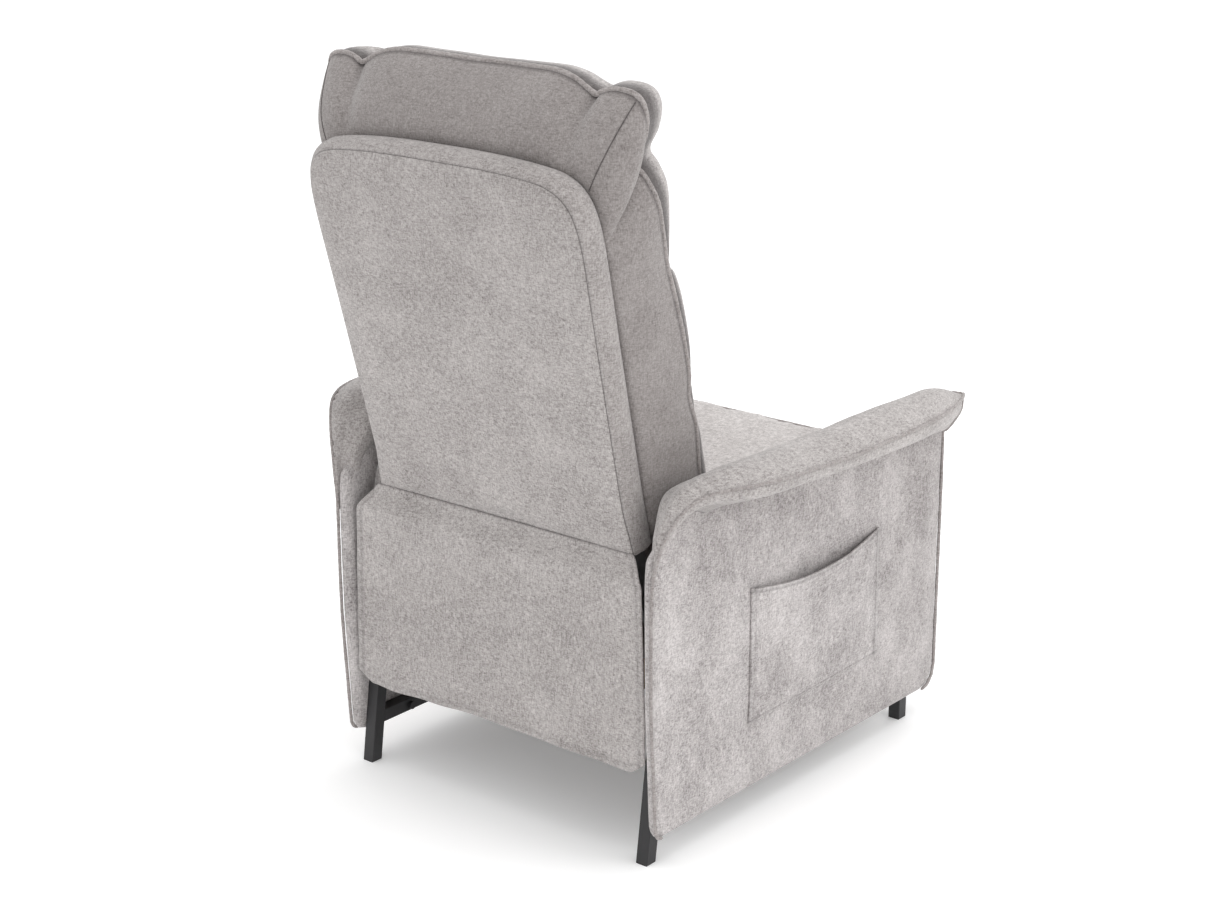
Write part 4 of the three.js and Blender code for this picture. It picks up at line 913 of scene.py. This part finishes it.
def pillow_boxing(steps=26):
    """From the rear edge to the piping in straight lines, then pushed out square to the edge by
    a sine; the pull of each tuck draws it in near the piping."""
    rear = np.column_stack([pillow_rear, np.full(len(pillow_rear), PILLOW_REAR_T)])
    share = np.linspace(0, 1, steps)[:, None, None]
    line = rear[None] * (1 - share) + pillow_pipe[None] * share
    edge = np.roll(pillow_pipe, -1, 0) - np.roll(pillow_pipe, 1, 0)
    rise = pillow_pipe - rear
    out = np.cross(edge, rise)
    out /= np.linalg.norm(out, axis=1)[:, None]
    centre = np.array([0, 300, 100])
    out *= np.sign(((pillow_pipe - centre) * out).sum(1))[:, None]
    length = np.linalg.norm(rise, axis=1)
    bow = 0.1 * length * np.interp(pillow_pipe[:, 1], [-30, 60, 480, 590], [1.3, 1.0, 0.9, 1.2])
    for across, up in TUCKS:
        away = np.hypot(np.abs(pillow_pipe[:, 0]) - across, pillow_pipe[:, 1] - up)
        bow = bow * (1 - 0.5 * np.exp(-((away / 20) ** 2)))
    swell = bow[None, :, None] * np.sin(np.pi * share**0.85) ** 0.75
    line = line + out[None] * swell
    crease = np.zeros(line.shape[:2])
    for across, up in TUCKS:
        away = (np.abs(pillow_pipe[:, 0]) - across) ** 2 + (pillow_pipe[:, 1] - up) ** 2
        near = np.exp(-away / 7.0**2)[None] * np.clip((share[..., 0] - 0.55) / 0.45, 0, 1) ** 1.2
        crease += near
    line = line - out[None] * crease[..., None] * 4.5
    uneven = wave(line[..., 0] * 0.6 + line[..., 2], line[..., 1], 120, 31) * 1.6
    line = line + out[None] * (uneven * np.sin(np.pi * share[..., 0]))[..., None]
    return line, crease


boxing, crease = pillow_boxing()
shares = 1 - np.array([
    0.006, 0.016, 0.03, 0.05, 0.075, 0.105, 0.14, 0.18, 0.225, 0.27, 0.32, 0.37, 0.42, 0.47, 0.52,
    0.57, 0.62, 0.67, 0.72, 0.77, 0.82, 0.87, 0.92, 0.96, 1.0,
])
core_up = np.clip(pillow_pipe[:, 1], 169, 470)
core_flat = np.column_stack([np.zeros(len(core_up)), core_up])
flat = core_flat[None] + (pillow_pipe[None, :, :2] - core_flat[None]) * shares[:, None, None]
edge_away = (1 - shares)[:, None] * np.linalg.norm(pillow_pipe[:, :2] - core_flat, axis=1)[None]
round_over = np.sqrt(np.clip(1 - (1 - np.clip(edge_away / 85, 0, 1)) ** 2.2, 0, 1))
up = flat[..., 1]
stops_up = np.array([-30, *CHANNELS[::-1], 640])
section = np.clip(np.searchsorted(stops_up, up.ravel()) - 1, 0, 3).reshape(up.shape)
low_stop, high_stop = stops_up[section], stops_up[section + 1]
place = 2 * (up - low_stop) / (high_stop - low_stop) - 1     # -1 to 1 across its channel
amount = np.array([50.0, 36.0, 44.0, 50.0])[section]
dome = amount * (0.52 + 0.48 * np.clip(1 - np.abs(place) ** 2.6, 0, 1))
slump = np.array([8.0, 0, 0, 0])[section] * np.clip(-place, 0, 1)
front_t = pillow_pipe[None, :, 2] * (1 - round_over) + PILLOW_FRONT_T * round_over
front_t = front_t + dome * round_over + 1.8 * wave(flat[..., 0], up, 110, 41) * round_over
bow_down = 6 * (flat[..., 0] / 250) ** 2
sewn_in = np.clip(edge_away / 12, 0, 1)
for channel in CHANNELS:
    front_t = front_t - 15 * np.exp(-(((up - channel + bow_down) / 9.0) ** 2)) * sewn_in
# Painted shade along the sewn channels.
channel_shade = sum(0.8 * np.exp(-(((up - c + bow_down) / 3.2) ** 2)) for c in CHANNELS)
roll_out = 5 * np.exp(-(((edge_away - 20) / 17) ** 2)) * np.clip(edge_away / 4, 0, 1)
heading = pillow_pipe[:, :2] - core_flat
heading = heading / np.linalg.norm(heading, axis=1)[:, None]
hold = np.interp(pillow_pipe[:, 1], [-30, 0, 130, 220], [0.8, 0.5, 0.1, 1.0])
flat = flat + heading[None] * (roll_out * hold[None])[..., None]
front_face = np.stack([flat[..., 0], flat[..., 1] - slump * round_over, front_t], -1)
rear_shares = np.array([0.0, 0.5, 0.85])[:, None, None]
rear_flat = core_flat[None] + (pillow_rear[None] - core_flat[None]) * rear_shares
rear_face = np.concatenate([rear_flat, np.full((*rear_flat.shape[:2], 1), PILLOW_REAR_T)], -1)
pillow_grid = np.concatenate([rear_face, boxing, front_face])
boxing_end = len(rear_face) + len(boxing)
# Painted shade: darker in the tuck creases and beside the piping; the rear face and boxing are
# painted darker as a whole.
pillow_seam_shade = np.zeros(pillow_grid.shape[:2])
pillow_seam_shade[len(rear_face) : boxing_end] += 0.35 * crease
pillow_seam_shade[boxing_end:] += channel_shade
pillow_seam_shade[boxing_end - 2 : boxing_end + 2] += np.array([0.5, 0.9, 0.9, 0.5])[:, None]
pillow_painted_shade = np.zeros(pillow_grid.shape[:2])
pillow_painted_shade[:boxing_end] = 1.0
pillow_seam_shade = np.clip(pillow_seam_shade, 0, 1)
pillow = skin("back_cushion_cover", on_back(pillow_grid), seam_shade=pillow_seam_shade, nap_and_painted_shade=pillow_painted_shade)
wear(pillow, plain_cloth)
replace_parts(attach(pillow, "back"), "back_cushion")
pillow_cord = welt(
    "back_cushion_piping", on_back(pillow_pipe), 3.6, (0, -0.97, 0.25), closed=True
)
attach(pillow_cord, "back")
# Painted shade: a thin dark cord along each top mitre, where the seam folds in.
mitre_shade_cloth = chenille("chenille_mitre_shade", (104, 98, 97), (70, 66, 65))
MITRE_STOP = 10.0
for side, stop in (("left", MITRE_STOP), ("right", len(pillow_stops) - MITRE_STOP)):
    column = np.abs(pillow_at - stop).argmin()
    joint = resampled(on_back(boxing[1:-1, column]), 90)
    mitre_shade_line = welt(f"back_cushion_mitre_shade_{side}", joint, 1.0, (0, 0, 1), sides=6)
    wear(mitre_shade_line, mitre_shade_cloth)
    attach(mitre_shade_line, "back")

# ---- Rear flap: a single cloth sewn to the foot of the slab, hemmed, hanging to mid leg ---------
# Its top edge is caught in the slab's lower seam; on the chair it swings there when the back leans,
# but this cloth is not attached to the back. The sides are turned in and stitched, the lower edge
# has a deeper hem.
FLAP_TOP = SLAB_FOOT[1] + 5.0
FLAP_SEAM = 303.9     # sewn into the foot of the slab
FLAP_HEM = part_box("rear_flap")[0].z * 1000
FLAP_HANG = (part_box("rear_flap")[1].y - FEET_MIDDLE) * 1000 - 1.2


def flap_points(rows=90, columns=120):
    """Straight rows, the top one as wide as the slab; the edges step out below it to the full
    width. The cloth leans out to its hanging plane, then hangs with long shallow waves."""
    up = np.linspace(0, 1, rows)[:, None]
    across = np.linspace(-1, 1, columns)[None, :]
    drop = 1 - up
    half = np.interp(drop[:, 0], [0, 0.118, 0.13, 1], [236.5, 264.5, 265.5, 273.0])[:, None]
    x = half * across
    hem = FLAP_HEM - 3 - 7 * across**2 + 2.0 * wave(x, 0 * x, 210, 51)
    hem = hem + 20 * np.clip((np.abs(across) - 0.9) / 0.1, 0, 1) ** 1.3     # cut off at a slant
    z = FLAP_TOP * up + hem * drop
    lean = np.clip(drop / 0.13, 0, 1)
    y = FLAP_SEAM + (FLAP_HANG - FLAP_SEAM) * (lean * lean * (3 - 2 * lean))
    sway = (1.6 * wave(x, z * 0.35, 150, 52) + 1.2 * wave(x, z, 90, 53)) * np.clip(drop * 1.5, 0, 1)
    return np.stack([x, y + sway, z], -1), drop + 0 * across


flap_grid, flap_drop = flap_points()
flap_half = np.abs(flap_grid[..., 0]).max(1, keepdims=True)
flap_in = flap_half - np.abs(flap_grid[..., 0])
# Painted shade along the stitching of the side hems and the lower hem, and along the top edge where
# it meets the slab.
flap_stitch_shade = 0.3 * np.exp(-(((flap_in - 9) / 1.6) ** 2))
flap_stitch_shade += 0.4 * np.exp(-(((flap_drop - 0.972) / 0.006) ** 2))
flap_stitch_shade[-1] = 0.4
flap = skin("rear_flap_cloth", flap_grid, wrap=False, seam_shade=np.clip(flap_stitch_shade, 0, 1), merge=False)
flap_thickness = flap.modifiers.new("cloth", "SOLIDIFY")
flap_thickness.thickness = 0.0022
flap_thickness.offset = 0
wear(flap, plain_cloth)
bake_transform(flap)
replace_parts(flap, "rear_flap")

# ---- Footrest pad: boxed foam on the board, crowned and piped ----------------------------------
# The cover is drawn over the foam and round the plywood board's edges, and stapled under it.
pad_low, pad_high = (np.array(corner) * 1000 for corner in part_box("footrest_pad"))
pad_low[1] -= FEET_MIDDLE * 1000
pad_high[1] -= FEET_MIDDLE * 1000
pad_loop = rounded_box(pad_low[[0, 2]], pad_high[[0, 2]], 9, 320)
pad_thick = pad_high[1] - pad_low[1]
pad_deep = pad_thick + 12.0     # the cloth is drawn round the edges of the board
PAD_ROWS = [(left, 0, 6.0) for left in (0.0, 0.25, 0.45, 0.62, 0.75)] + [(0.86, 0, 5.2)]
PAD_ROWS += [(1, 14, 3.2), (1, 9, 1.2), (1, 5, -1.4), (1, 3, -3.6), (1, 2.4, -5), (1, 2.6, -7)]
PAD_ROWS += [(1, 0.6, -16), (1, -0.6, -26), (1, -1, -40), (1, -1, -pad_thick)]
PAD_ROWS += [(1, -1, 3 - pad_deep), (1, 0.5, 0.8 - pad_deep), (1, 3, -pad_deep)]
PAD_ROWS += [(0.5, 0, -pad_deep), (0, 0, -pad_deep)]
pad_grid = boxed(pad_loop, ((-110, 190), (110, 190)), PAD_ROWS)
pad_y = pad_low[1] - pad_grid[..., 2]
pad_grid = np.stack([pad_grid[..., 0], pad_y, pad_grid[..., 1]], -1)
PAD_SEAM_ROW = 10
pad_room_low = (pad_low[0] - 1, pad_low[1] - 8, pad_low[2] - 1)
pad_room_high = (pad_high[0] + 1, 999, pad_high[2] + 1)
pad_blown = blown(pad_grid, 6.0, pad_room_low, pad_room_high)
pad_stapled = np.clip((np.arange(len(PAD_ROWS)) - 11) / 3, 0, 1)[:, None, None]
pad_grid = pad_blown + (pad_grid - pad_blown) * pad_stapled
pad = wear(skin("footrest_pad_cover", pad_grid), plain_cloth)
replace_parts(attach(pad, "footrest"), "footrest_pad")
pad_cord_path = pad_grid[PAD_SEAM_ROW] + (0, -0.6, 0)
pad_cord = welt("footrest_piping", pad_cord_path, 2.8, (0, 1, 0), closed=True)
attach(pad_cord, "footrest")
